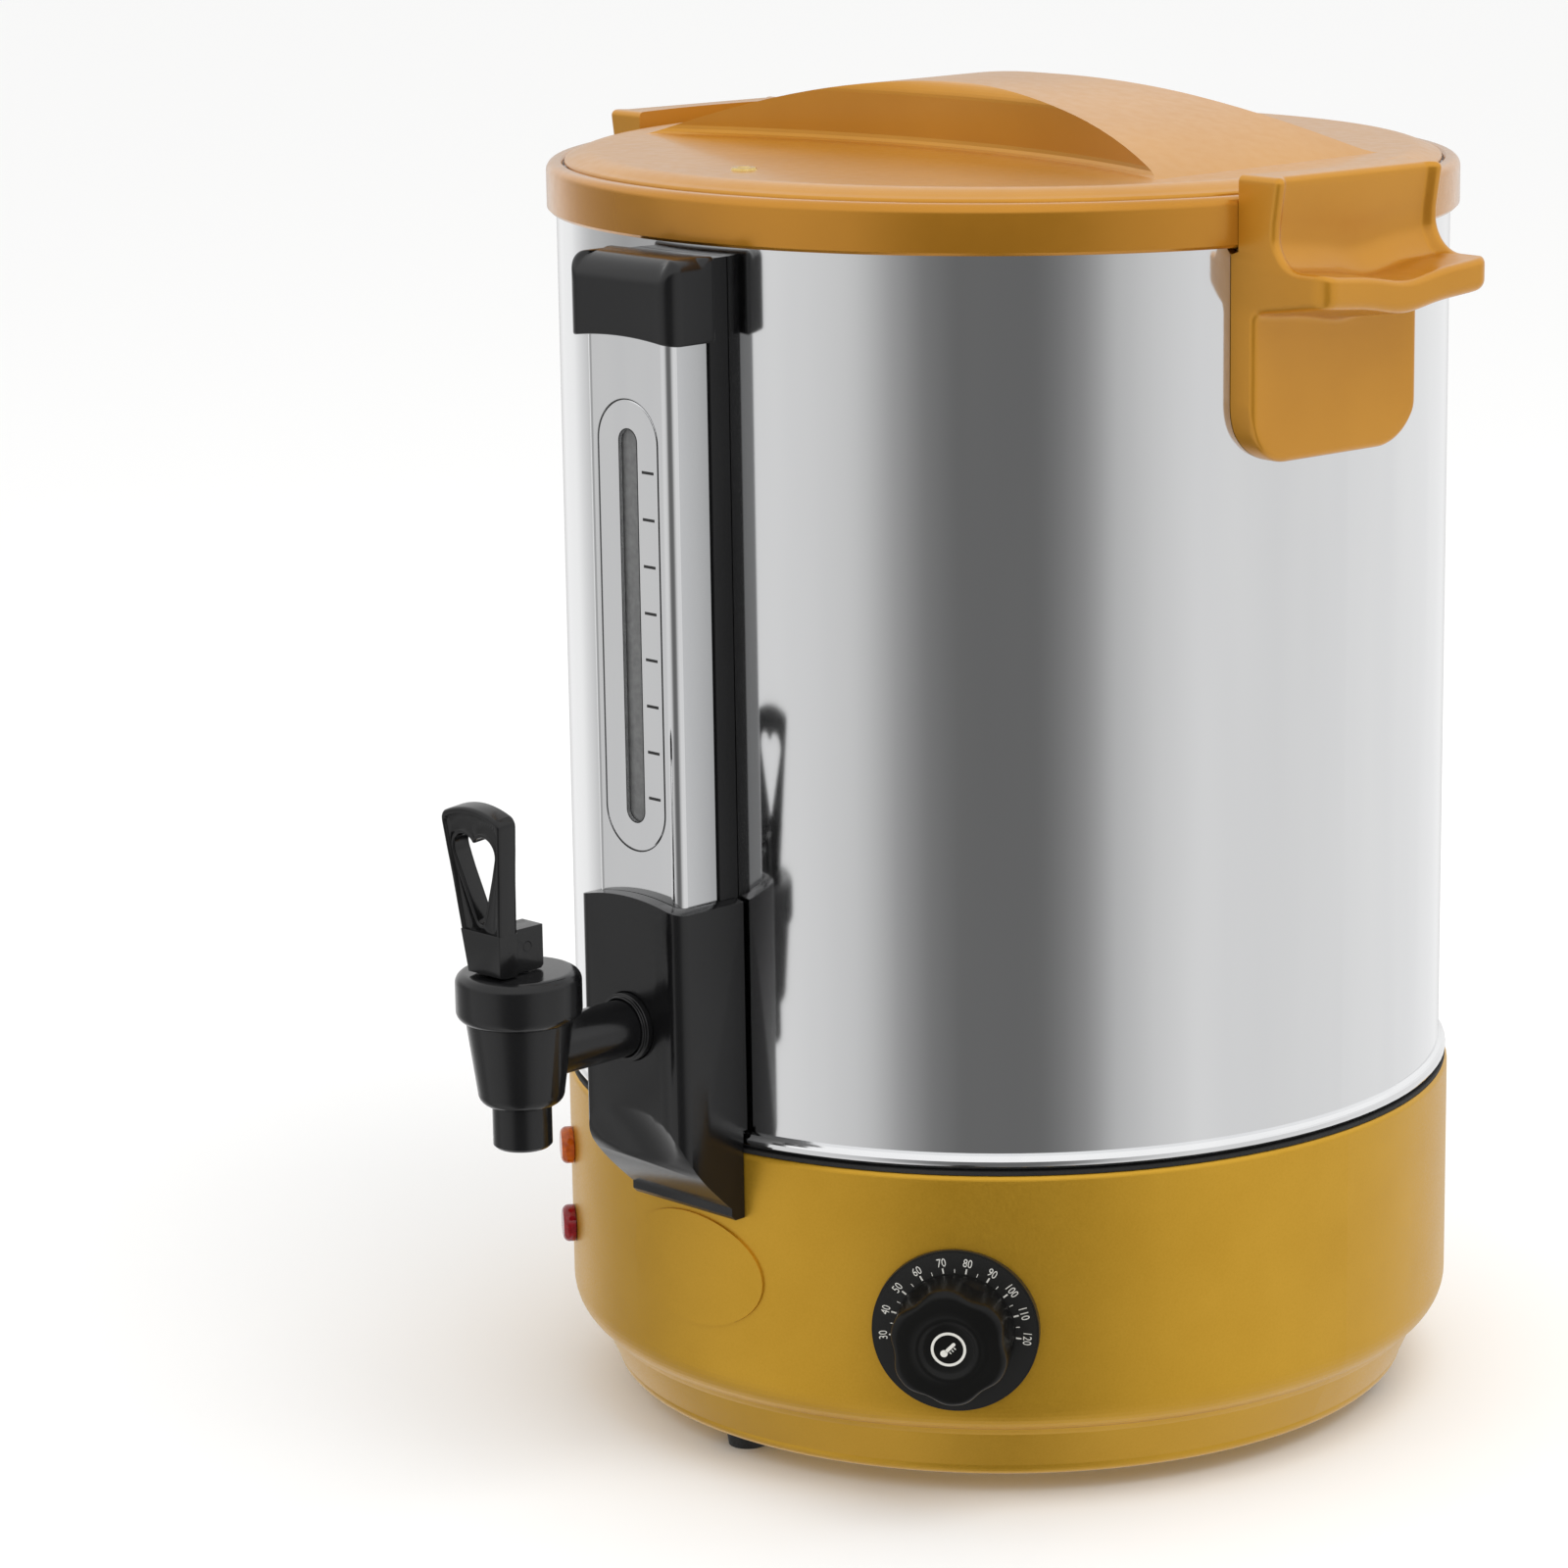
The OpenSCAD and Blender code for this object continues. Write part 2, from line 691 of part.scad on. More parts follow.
module gauge_cover() {
    z0 = cover_top - lap;
    z1 = cap_z + lap;
    color(steel) on_axis() difference() {
        translate([0, 0, z0]) linear_extrude(z1 - z0) gauge_plan(gauge_half_w, gauge_front, gauge_corner);
        translate([0, 0, z0 - 1]) linear_extrude(z1 - z0 + 2) union() {
            gauge_plan(gauge_half_w - gauge_t, gauge_front - gauge_t, gauge_corner - gauge_t);
            translate([-gauge_half_w + gauge_t, -strip_front - 1]) square([2 * (gauge_half_w - gauge_t), 5]);
        }
        upright(gauge_front - 4, gauge_front + 1) stadium(slot_w, slot_low, slot_high);
        upright(gauge_front - 0.35, gauge_front + 1) difference() {
            stadium(groove_w, slot_low - groove_past_slot, slot_high + groove_past_slot);
            stadium(groove_w - 1.4, slot_low - groove_past_slot + 0.7, slot_high + groove_past_slot - 0.7);
        }
    }
}

// The cap in side view: a block with a domed upper front edge
module cap_side() {
    front = gauge_front + cap_out;
    dome = 9;
    polygon(concat(
        [[strip_front + fit, cap_z], [front, cap_z]],
        arc(front - dome, cap_top - dome, dome, 0, 90),
        [[strip_front + fit, cap_top]]
    ));
}

module cap_plan(w, front, r) {
    translate([-w, -front + r]) square([2 * w, front - r - strip_front]);
    translate([-w + r, -front]) square([2 * (w - r), r + 1]);
    for (x = [-1, 1]) translate([x * (w - r), -front + r]) circle(r = r);
}

module gauge_cap() {
    arch_r = 150;
    arch_h = 1.8;
    color(black) on_axis() difference() {
        intersection() {
            sideways(2 * (gauge_half_w + cap_wall)) cap_side();
            translate([0, 0, cap_z]) linear_extrude(cap_h)
                cap_plan(gauge_half_w + cap_wall, gauge_front + cap_out, gauge_corner + cap_out);
        }
        difference() {
            translate([0, 0, cap_z - 1]) linear_extrude(cap_h - 2)
                cap_plan(gauge_half_w + fit, gauge_front + fit, gauge_corner + fit);
            translate([0, -tube_y, cap_z + lap + 1]) cylinder(r = tube_r + seal_wall + 2, h = cap_h);
        }
        translate([0, -tube_y, cap_z]) cylinder(r = tube_r + seal_wall + run, h = lap + 1 + seal_l);
        upright(gauge_front, gauge_front + past)
            translate([0, cap_z - arch_r + arch_h]) circle(r = arch_r, $fn = 128);
    }
}

module sight_tube() {
    color("#b9c2c4", 0.6) on_axis() translate([0, -tube_y, tube_low]) difference() {
        cylinder(r = tube_r, h = tube_high - tube_low);
        translate([0, 0, -1]) cylinder(r = tube_r - tube_t, h = tube_high - tube_low + 2);
    }
}

module tube_seals() {
    color(silicone) on_axis()
        for (z = [tee_top - seal_l + 1, cap_z + lap + 1])
            translate([0, -tube_y, z]) difference() {
                cylinder(r = tube_r + seal_wall, h = seal_l);
                translate([0, 0, -1]) cylinder(r = tube_r + run, h = seal_l + 2);
            }
}

module gauge_tee() {
    color(black) on_axis() difference() {
        union() {
            along_tap(strip_front + washer_t, tee_front, shank_r + 5);
            translate([0, -tube_y, shank_z]) cylinder(r = socket_r, h = tee_top - shank_z);
        }
        along_tap(strip_front, tee_front + 2, shank_r + fit);
        translate([0, -tube_y, shank_z]) cylinder(r = tube_r - tube_t, h = tee_top - shank_z + 1);
        translate([0, -tube_y, tee_top - seal_l + 1]) cylinder(r = tube_r + seal_wall + run, h = seal_l);
    }
}

// Tap

// The tap cover in side view: upright, then scooped back to the skirt
module cover_side() {
    sweep_z = cover_z + 34;
    chin = skirt_r + 4;
    polygon(concat(
        [[jacket_r - past, cover_z], [chin - 1.5, cover_z], [chin, cover_z + 1.5]],
        [for (i = [0 : 10]) let (t = i / 10)
            [chin + (cover_front - chin) * sin(90 * t), cover_z + 4 + (sweep_z - cover_z - 4) * t]],
        [[cover_front, cover_top + 6], [jacket_r - past, cover_top + 6]]
    ));
}

module cover_plan() {
    corner = 5;
    translate([-cover_half_w, -cover_front + corner])
        square([2 * cover_half_w, cover_front - corner - jacket_r + past]);
    translate([-cover_half_w + corner, -cover_front]) square([2 * (cover_half_w - corner), corner + 1]);
    for (x = [-1, 1]) translate([x * (cover_half_w - corner), -cover_front + corner]) circle(r = corner);
}

module tap_cover() {
    arch_r = 80;
    dish_r = 62;
    dish_in = 7.4;
    stand_off = 1.5;
    color(black) on_axis() difference() {
        intersection() {
            sideways(2 * cover_half_w + 2) cover_side();
            translate([0, 0, cover_z - 1]) linear_extrude(cover_top - cover_z + 9) cover_plan();
            upright(0, cover_front + 1) {
                translate([0, cover_top + 3.2 - arch_r]) circle(r = arch_r, $fn = 128);
                translate([-cover_half_w, cover_z]) square([2 * cover_half_w, cover_up]);
            }
        }
        // Room for the gauge cover, the tee and the shank
        translate([0, 0, shank_z - shank_r - 8]) linear_extrude(cover_top)
            cap_plan(gauge_half_w + fit, gauge_front + fit, gauge_corner + fit);
        translate([-strip_half_w - fit, -strip_front - fit, bead_top + 1 - fit])
            cube([2 * (strip_half_w + fit), strip_front, cover_top]);
        translate([0, 0, bead_top]) cylinder(r = jacket_r + stand_off, h = cover_top, $fn = 128);
        along_tap(jacket_r, cover_front + past, shank_r + ring_out + free);
        translate([0, 0, cover_z - 1]) cylinder(r = skirt_r + free, h = bead_top - cover_z + 2, $fn = 128);
        translate([0, -cover_front - dish_r + dish_in, cover_z + 9]) sphere(r = dish_r, $fn = 96);
    }
}

module tap_body() {
    neck = 11;
    body_wall = 3;
    low_round = 4;
    color(black) on_axis() difference() {
        union() {
            translate([0, -tap_reach, 0]) rotate_extrude() polygon(concat(
                [[0, spout_z], [spout_r - 0.8, spout_z], [spout_r, spout_z + 0.8], [spout_r, body_z]],
                arc(body_low_r - low_round, body_z + low_round, low_round, -85, 0),
                [[body_top_r, bonnet_z - 0.1], [body_top_r, bonnet_z + neck], [0, bonnet_z + neck]]
            ));
            along_tap(tank_in_r - shank_in, tap_reach - body_low_r + body_wall, shank_r);
        }
        translate([0, -tap_reach, 0]) rotate_extrude() polygon([
            [0, spout_z - 1], [spout_bore_r, spout_z - 1], [spout_bore_r, seat_z],
            [body_low_r - body_wall, seat_z + 1.5], [body_top_r - body_wall, bonnet_z],
            [body_top_r - body_wall, bonnet_z + neck + 1], [0, bonnet_z + neck + 1]
        ]);
        along_tap(tank_in_r - shank_in - 1, tap_reach - 4, shank_bore_r);
        translate([0, -tube_y, shank_z]) cylinder(r = tube_r - tube_t, h = shank_r + 1);
    }
}

module shank_ring() {
    color(black) on_axis() difference() {
        union() {
            along_tap(cover_front - 1, cover_front + 2.2, shank_r + ring_out);
            along_tap(cover_front + 1, cover_front + 3.4, shank_r + ring_out / 2);
        }
        along_tap(cover_front - past, cover_front + past, shank_r + fit);
    }
}

// Sealing washers: one flat against the tee, one shaped to the tank's wall
module shank_washers() {
    color(silicone) on_axis() {
        difference() {
            along_tap(strip_front, strip_front + washer_t, shank_r + 4.6);
            along_tap(strip_front - past, strip_front + past, shank_r + fit);
        }
        difference() {
            intersection() {
                along_tap(tank_in_r - 5, tank_in_r + 5, shank_r + 3.8);
                translate([0, 0, tank_z]) cylinder(r = tank_in_r - fit / 2, h = tank_depth, $fn = 128);
            }
            along_tap(tank_in_r - past, tank_in_r + past, shank_r + fit);
        }
    }
}

module shank_nut() {
    nut_t = 7.8;
    color(black) on_axis() difference() {
        translate([0, shank_in - 1 - tank_in_r, shank_z]) rotate([90, 0, 0])
            cylinder(r = shank_r + 7, h = nut_t, $fn = 6);
        along_tap(tank_in_r - 2 * shank_in, tank_in_r, shank_r + fit);
    }
}

module tap_bonnet() {
    edge = 3.5;
    color(black) on_axis() translate([0, -tap_reach, 0]) rotate_extrude() polygon(concat(
        [[stem_r + run, bonnet_top], [stem_r + run, bonnet_top - bonnet_roof]],
        [[body_top_r + run, bonnet_top - bonnet_roof], [body_top_r + run, bonnet_z]],
        arc(bonnet_r - edge, bonnet_z + edge, edge, -60, 0),
        arc(bonnet_r - edge, bonnet_top - edge, edge, 0, 90)
    ));
}

module tap_stem() {
    tongue_z = pin_z - tongue_l;
    color(steel) on_axis() translate([0, -tap_reach, 0]) difference() {
        union() {
            translate([0, 0, seat_z + 3]) cylinder(r = stem_r, h = tongue_z - seat_z - 3);
            translate([0, 0, seat_z + cup_h]) cylinder(r = cup_r - 0.8, h = collar_disc_t);
            intersection() {
                translate([0, 0, tongue_z]) cylinder(r = stem_r, h = pin_z - tongue_z);
                translate([-tongue_half_w, -stem_r, tongue_z])
                    cube([2 * tongue_half_w, 2 * stem_r, pin_z - tongue_z]);
            }
            translate([-tongue_half_w, 0, pin_z]) rotate([0, 90, 0])
                cylinder(r = stem_r, h = 2 * tongue_half_w);
        }
        translate([-past, 0, pin_z]) rotate([0, 90, 0]) cylinder(r = pin_r + run, h = 2 * past);
    }
}

module seat_cup() {
    color(silicone) on_axis() translate([0, -tap_reach, 0]) rotate_extrude() polygon([
        [0, seat_z - 1.6], [spout_bore_r - 1.2, seat_z - 1.6], [spout_bore_r - free, seat_z + 0.3],
        [cup_r - 0.4, seat_z + 2.4], [cup_r, seat_z + cup_h], [stem_r + fit, seat_z + cup_h],
        [stem_r + fit, seat_z + 3 - fit], [0, seat_z + 3 - fit]
    ]);
}

// A compression spring swept along its helix
module tap_spring() {
    wire_r = 0.7;
    coil_r = stem_r + 2.8;
    turns = 5;
    sides = 8;
    steps = turns * 20;
    z0 = spring_low + wire_r;
    rise = spring_high - spring_low - 2 * wire_r;
    points = [for (i = [0 : steps], k = [0 : sides - 1])
        let (t = i / steps, a = 360 * turns * t, b = 360 * k / sides, r = coil_r + wire_r * cos(b))
        [r * cos(a), r * sin(a), z0 + rise * t + wire_r * sin(b)]];
    walls = [for (i = [0 : steps - 1], k = [0 : sides - 1])
        let (n = (k + 1) % sides)
        [i * sides + k, (i + 1) * sides + k, (i + 1) * sides + n, i * sides + n]];
    ends = [[for (k = [0 : sides - 1]) k], [for (k = [sides - 1 : -1 : 0]) steps * sides + k]];
    color(steel) on_axis() translate([0, -tap_reach, 0])
        polyhedron(points, concat(walls, ends), convexity = 10);
}

// The foot of the lever in side view, about its pin: a flat heel, then an involute that lifts
// the stem in step with the tilt. Forward is positive.
module lever_foot_side() {
    foot = pin_up - free;
    k = lift_per_radian;
    top = lever_h + 8;
    front = lever_h;
    polygon(concat(
        [[-lever_heel, top], [-lever_heel, -foot + 1], [-lever_heel + 1, -foot]],
        [for (i = [0 : 10]) let (a = lever_tilt_max * i / 10, p = foot + k * a * PI / 180)
            [p * sin(a) + k * cos(a), -p * cos(a) + k * sin(a)]],
        [[front, 0], [front, top]]
    ));
}

module lever_blade() {
    half_top = lever_top_w / 2;
    half_foot = lever_foot_w / 2;
    below = 4;
    corner = 3;
    crown = 2;
    corner_x = half_top - corner;
    corner_z = lever_h - corner - crown;
    hole_top = lever_h - 12;
    hole_low = lever_h - 35;
    difference() {
        polygon(concat(
            [[-half_foot, -below], [half_foot, -below]],
            arc(corner_x, corner_z, corner, -10, 70, 5),
            [[0, lever_h]],
            arc(-corner_x, corner_z, corner, 110, 190, 5)
        ));
        hull() {
            for (x = [-1, 1]) translate([x * (half_top - 6), hole_top]) circle(r = 2.2, $fn = 32);
            translate([0, hole_low]) circle(r = 1.8, $fn = 32);
        }
    }
}

module tap_lever() {
    web_half_w = 4.6;
    web_h = 14;
    web_front = lever_face - lever_t / 2;
    slot_half_w = tongue_half_w + free;
    slot_front = stem_r * cos(lever_tilt_max) + tongue_l * sin(lever_tilt_max) + free;
    slot_top = stem_r + 1.2;
    color(black) on_axis() translate([0, -tap_reach, pin_z]) difference() {
        intersection() {
            union() {
                translate([0, lever_t - lever_face, -pin_up]) rotate([lever_lean, 0, 0])
                    rotate([90, 0, 0]) linear_extrude(lever_t) lever_blade();
                translate([-web_half_w, -web_front, -pin_up])
                    cube([2 * web_half_w, web_front + lever_heel, web_h]);
            }
            sideways(2 * lever_top_w) lever_foot_side();
        }
        translate([-slot_half_w, -slot_front, -pin_up - 1])
            cube([2 * slot_half_w, slot_front + lever_heel + 1, pin_up + 1 + slot_top]);
        translate([-past, 0, 0]) rotate([0, 90, 0]) cylinder(r = pin_r + run, h = 2 * past);
    }
}

module lever_pin() {
    half_l = 4.5;
    color(steel) on_axis() translate([-half_l, -tap_reach, pin_z]) rotate([0, 90, 0])
        cylinder(r = pin_r, h = 2 * half_l);
}

// Controls

module dial_plate() {
    depth = 6;
    edge = 0.6;
    color(black) on_axis() difference() {
        on_skirt(control_angle, dial_z) difference() {
            translate([0, 0, -depth]) {
                cylinder(r = dial_r, h = dial_t + depth - edge);
                cylinder(r = dial_r - edge, h = dial_t + depth);
            }
            translate([0, 0, -past]) cylinder(r = stem_r + 2, h = 2 * past);
            screw_pair_holes(dial_screw_x);
        }
        cylinder(r = skirt_r + fit / 2, h = skirt_top, $fn = 360);
    }
}

module temperature_knob() {
    rear = dial_t + 0.5;
    face = dial_t + knob_h;
    edge = 2.2;
    flute_r = 8;
    flute_turn = 23;
    hollow_h = 6;
    skin = 4;
    color(black) on_axis() on_skirt(control_angle, dial_z) difference() {
        union() {
            translate([0, 0, rear]) cylinder(r = knob_r, h = face - rear - edge);
            translate([0, 0, face - edge]) cylinder(r1 = knob_r, r2 = knob_r - 1.8, h = edge);
        }
        for (i = [0 : flute_count - 1])
            rotate(90 - flute_turn + i * 360 / flute_count)
                translate([knob_r + flute_r - flute_depth, 0, rear + 3])
                    cylinder(r = flute_r, h = face);
        translate([0, 0, face - 0.8]) cylinder(r = knob_r * 0.42, h = 2);
        difference() {
            translate([0, 0, rear - 1]) cylinder(r = knob_r - 2.4, h = hollow_h + 1);
            cylinder(r = stem_r + 2.6, h = face);
        }
        translate([0, 0, rear - 1]) spindle_section(run, face - rear + 1 - skin);
    }
}

// A round shaft with one flat, grown by a clearance
module spindle_section(grow, l) {
    difference() {
        cylinder(r = stem_r + grow, h = l);
        translate([-past, stem_r / 2 + grow, -1]) cube([2 * past, past, l + 2]);
    }
}

module thermostat_spindle() {
    rear = 16;
    short = 5.2;
    color(steel) on_axis() on_skirt(control_angle, dial_z) {
        translate([0, 0, dial_t]) spindle_section(0, knob_h - short);
        translate([0, 0, -rear]) cylinder(r = stem_r, h = rear + dial_t);
    }
}

module thermostat_body() {
    bracket_t = 1.5;
    block_half_w = 16;
    block_depth = 25;
    tag_y = -20;
    color("#9a9a96") on_axis() on_skirt(control_angle, dial_z) difference() {
        union() {
            translate([-18, -12, bracket_z - bracket_t]) cube([36, 24, bracket_t]);
            translate([-block_half_w, -port_up, bracket_z - block_depth])
                cube([2 * block_half_w, 2 * port_up, block_depth - bracket_t + 0.1]);
            for (x = [-8, 8]) translate([x - 3, tag_y, bracket_z - 20]) cube([6, 6, 0.8]);
            translate([0, port_up, port_z]) rotate([-90, 0, 0]) cylinder(r = 4, h = 3);
        }
        translate([0, 0, -17]) cylinder(r = stem_r + run, h = 30);
        for (x = [-1, 1]) translate([x * dial_screw_x, 0, -14]) cylinder(r = screw_r + run, h = 20);
        translate([0, port_up - 1, port_z]) rotate([-90, 0, 0]) cylinder(r = pipe_r + fit, h = 6);
    }
}

module thermostat_screws() {
    color(steel) on_axis() on_skirt(control_angle, dial_z)
        for (x = [-1, 1]) translate([x * dial_screw_x, 0, dial_t]) screw(dial_screw_l);
}

// Sensor bulb under the heat plate, with its capillary coming up from the thermostat
module sensor_bulb() {
    bulb_r = 3;
    bulb_l = 72;
    bend = 8;
    run_in = 24;
    start_z = dial_z + port_up + 1;
    bulb_z = heater_z - bulb_r - fit;
    color(brass) on_axis() rotate([0, 0, control_angle]) translate([0, -skirt_r - port_z, 0]) {
        translate([0, 0, start_z]) cylinder(r = pipe_r, h = bulb_z - bend - start_z);
        translate([0, bend, bulb_z - bend]) rotate([0, 90, 0]) rotate([0, 0, 180])
            rotate_extrude(angle = 90) translate([bend, 0]) circle(r = pipe_r);
        translate([0, bend, bulb_z]) rotate([-90, 0, 0]) cylinder(r = pipe_r, h = run_in);
        translate([0, bend + run_in, bulb_z]) rotate([-90, 0, 0]) cylinder(r = bulb_r, h = bulb_l);
    }
}

module heater_plate() {
    color("#b0b2b4") on_axis() translate([0, 0, heater_z]) cylinder(r = heater_r, h = heater_t, $fn = 128);
}

// A heating tube bent into an open ring, its ends turned down to the terminals
module heating_element() {
    ring_z = heater_z - element_r;
    opening = 36;
    drop = 20;
    terminal_l = 8;
    color("#7d7f80") on_axis() rotate([0, 0, control_angle - 90]) {
        rotate([0, 0, opening]) translate([0, 0, ring_z])
            rotate_extrude(angle = 360 - 2 * opening, $fn = 128)
                translate([element_circle_r, 0]) circle(r = element_r);
        for (side = [-1, 1]) rotate([0, 0, side * opening]) translate([element_circle_r, 0, ring_z]) {
            sphere(r = element_r);
            translate([0, 0, -drop]) cylinder(r = element_r, h = drop);
            translate([0, 0, -drop - terminal_l]) cylinder(r = 1.6, h = terminal_l + 1);
        }
    }
}

module dry_boil_cutout() {
    back = 40;
    color("#3a3330") on_axis() translate([0, back, heater_z]) mirror([0, 0, 1]) {
        difference() {
            union() {
                cylinder(r = 8.5, h = 5);
                translate([-14, -4, 0]) cube([28, 8, 1]);
                cylinder(r = 7.2, h = 10);
            }
            for (x = [-11.5, 11.5]) translate([x, 0, -1]) cylinder(r = 1.6, h = 4);
        }
        for (x = [-4, 4]) translate([x - 0.4, -3, 10]) cube([0.8, 6, 9]);
    }
}

// A lamp lens: a round window with a domed nose and a shank through the skirt
module lamp_lens(z) {
    shoulder = lamp_out - 2.4;
    nose = 2.1;
    on_skirt(-control_angle, z) difference() {
        union() {
            translate([0, 0, -lens_in]) cylinder(r = lens_shank_r, h = lens_in + shoulder);
            translate([0, 0, lamp_out - shoulder - nose]) rotate_extrude() polygon(concat(
                [[0, 0], [lamp_r, 0]],
                arc(lamp_r - nose, shoulder, nose, 0, 90),
                [[0, shoulder + nose]]
            ));
        }
        translate([0, 0, -lens_in - 1]) cylinder(r = lens_bore_r, h = lens_in + shoulder);
    }
}

module amber_lens() {
    color("#e0701c", 0.8) on_axis() lamp_lens(upper_lamp_z);
}

module red_lens() {
    color("#a8161c", 0.8) on_axis() lamp_lens(lower_lamp_z);
}

module lamp_bodies() {
    rear = 22;
    tag_l = 8;
    color("#e6e2da") on_axis()
        for (z = [upper_lamp_z, lower_lamp_z]) on_skirt(-control_angle, z) {
            translate([0, 0, -rear]) cylinder(r = lamp_r - 0.4, h = rear - lens_in - fit);
            translate([0, 0, -lens_in - fit]) cylinder(r = lens_bore_r - fit, h = lens_in + lamp_out - 4.2);
            for (x = [-2, 2]) translate([x - 1.2, -0.4, -rear - tag_l]) cube([2.4, 0.8, tag_l + 1]);
        }
}

// Power inlet at the back: a recessed block with a flange shaped to the skirt
module power_inlet() {
    flange_depth = 6;
    block_depth = 18;
    socket = [23.6, 16.4];
    socket_depth = 15;
    color(black) on_axis() difference() {
        union() {
            difference() {
                on_skirt(180, inlet_z) translate([0, 0, -flange_depth])
                    linear_extrude(flange_depth + inlet_out) rounded(2 * inlet_half_w, 2 * inlet_half_h, 4);
                cylinder(r = skirt_r + fit / 2, h = skirt_top, $fn = 128);
            }
            on_skirt(180, inlet_z) translate([0, 0, -block_depth])
                linear_extrude(block_depth + inlet_out) square(inlet_block, center = true);
        }
        on_skirt(180, inlet_z) {
            translate([0, 0, inlet_out - socket_depth])
                linear_extrude(socket_depth + 1) square(socket, center = true);
            for (p = pin_places) translate([p[0], p[1], -block_depth - 1])
                linear_extrude(block_depth) square(pin_size + fit * [1, 1], center = true);
            screw_pair_holes(inlet_screw_x);
        }
    }
}

module inlet_pins() {
    rear = 24;
    tip = 2;
    color(brass) on_axis() on_skirt(180, inlet_z)
        for (p = pin_places) translate([p[0], p[1], -rear])
            linear_extrude(rear - tip) square(pin_size, center = true);
}

module inlet_screws() {
    color(steel) on_axis() on_skirt(180, inlet_z)
        for (x = [-1, 1]) translate([x * inlet_screw_x, 0, inlet_out]) screw(inlet_screw_l);
}

// Lid

// The cut to either side of the bridge: a wide round scoop with a rounded foot and lip
module finger_scoops(inset, low, foot) {
    r = scoop_r + inset;
    lip = bridge_round - inset;
    lip_z = crown_z - inset - lip;
    for (side = [-1, 1]) translate([0, side * (bridge_half_w + scoop_r), 0])
        rotate_extrude($fn = 256) polygon(concat(
            [[0, low], [r - foot, low]],
            arc(r - foot, low + foot, foot, -90, 0, 4),
            arc(r + lip, lip_z, lip, 180, 90),
            [[r + lip, crown_z + 1], [0, crown_z + 1]]
        ));
}

// The bridge: the crown of a wide arch between the two scoops
module bridge(inset, low, scoop_z, foot) {
    difference() {
        intersection() {
            translate([0, 0, crown_z - bridge_r]) rotate([90, 0, 0])
                cylinder(r = bridge_r - inset, h = 2 * lid_r, center = true, $fn = 256);
            translate([0, 0, low]) cylinder(r = lid_r - border_w - inset, h = crown_z, $fn = 128);
        }
        finger_scoops(inset, scoop_z, foot);
    }
}

module lid_shell() {
    edge = 1.4;
    under_z = field_z - lid_t;
    color(gold_plastic) on_axis() difference() {
        union() {
            rotate_extrude($fn = 128) polygon(concat(
                [[0, under_z], [plug_r - plug_t, under_z], [plug_r - plug_t, plate_z]],
                [[lid_r - 1, plate_z], [lid_r, plate_z + 0.6]],
                arc(lid_r - edge, plate_top - edge, edge, 0, 60, 4),
                [for (t = [0.1 : 0.15 : 1])
                    [lid_r - edge - (border_w - edge) * t, plate_top + field_rise * sin(90 * t)]],
                [[0, field_z]]
            ));
            ring(plug_r - plug_t, plug_r, plate_z - plug_depth, plate_z + 0.1);
            bridge(0, field_z - 1, field_z, bridge_foot);
            for (a = lid_screw_angles) rotate([0, 0, a]) translate([lid_screw_circle_r, 0, liner_z + sheet_t])
                cylinder(r = boss_r, h = under_z - liner_z - sheet_t + 0.1);
        }
        bridge(lid_t, plate_z - 1, plate_z - 1, 1);
        vent_place(plate_z - 1) cylinder(r = vent_barrel_r + fit, h = field_z);
        for (a = lid_screw_angles) rotate([0, 0, a]) translate([lid_screw_circle_r, 0, liner_z])
            cylinder(r = screw_r + run, h = plate_z - liner_z);
    }
}

module vent_place(z) rotate([0, 0, -vent_angle]) translate([0, -vent_circle_r, z]) children();

module lid_liner() {
    color(steel) on_axis() difference() {
        translate([0, 0, liner_z]) cylinder(r = liner_r, h = sheet_t, $fn = 128);
        vent_place(liner_z - 1) cylinder(r = vent_r + 1, h = sheet_t + 2);
        for (a = lid_screw_angles) rotate([0, 0, a]) translate([lid_screw_circle_r, 0, liner_z - 1])
            cylinder(r = screw_r + fit, h = sheet_t + 2);
    }
}

module lid_screws() {
    color(steel) on_axis()
        for (a = lid_screw_angles) rotate([0, 0, a]) translate([lid_screw_circle_r, 0, liner_z - run])
            mirror([0, 0, 1]) screw(lid_screw_l);
}

module lid_gasket() {
    color(silicone) on_axis() ring(tank_in_r + 0.4, lid_r - 1, plate_z - seal_t, plate_z);
}

module vent_eyelet() {
    bore_r = 1.5;
    low = plate_z - 1.2;
    top = field_z + 0.8;
    color(brass) on_axis() vent_place(0) rotate_extrude() polygon([
        [bore_r, low], [vent_barrel_r, low], [vent_barrel_r, field_z],
        [vent_r, field_z], [vent_r - 0.5, top], [bore_r + 0.7, top], [bore_r, field_z]
    ]);
}

base_skirt();
base_plate();
rubber_feet();
foot_screws();
base_gasket();
outer_shell();
inner_tank();
rim_collar();
handle_right();
handle_left();
handle_screws();
gauge_strip();
gauge_cover();
gauge_cap();
sight_tube();
tube_seals();
gauge_tee();
tap_cover();
tap_body();
shank_ring();
shank_nut();
shank_washers();
tap_bonnet();
tap_stem();
seat_cup();
tap_spring();
tap_lever();
lever_pin();
dial_plate();
temperature_knob();
thermostat_spindle();
thermostat_body();
thermostat_screws();
sensor_bulb();
heater_plate();
heating_element();
dry_boil_cutout();
amber_lens();
red_lens();
lamp_bodies();
power_inlet();
inlet_pins();
inlet_screws();
lid_shell();
lid_liner();
lid_gasket();
vent_eyelet();
lid_screws();
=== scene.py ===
import json
import math

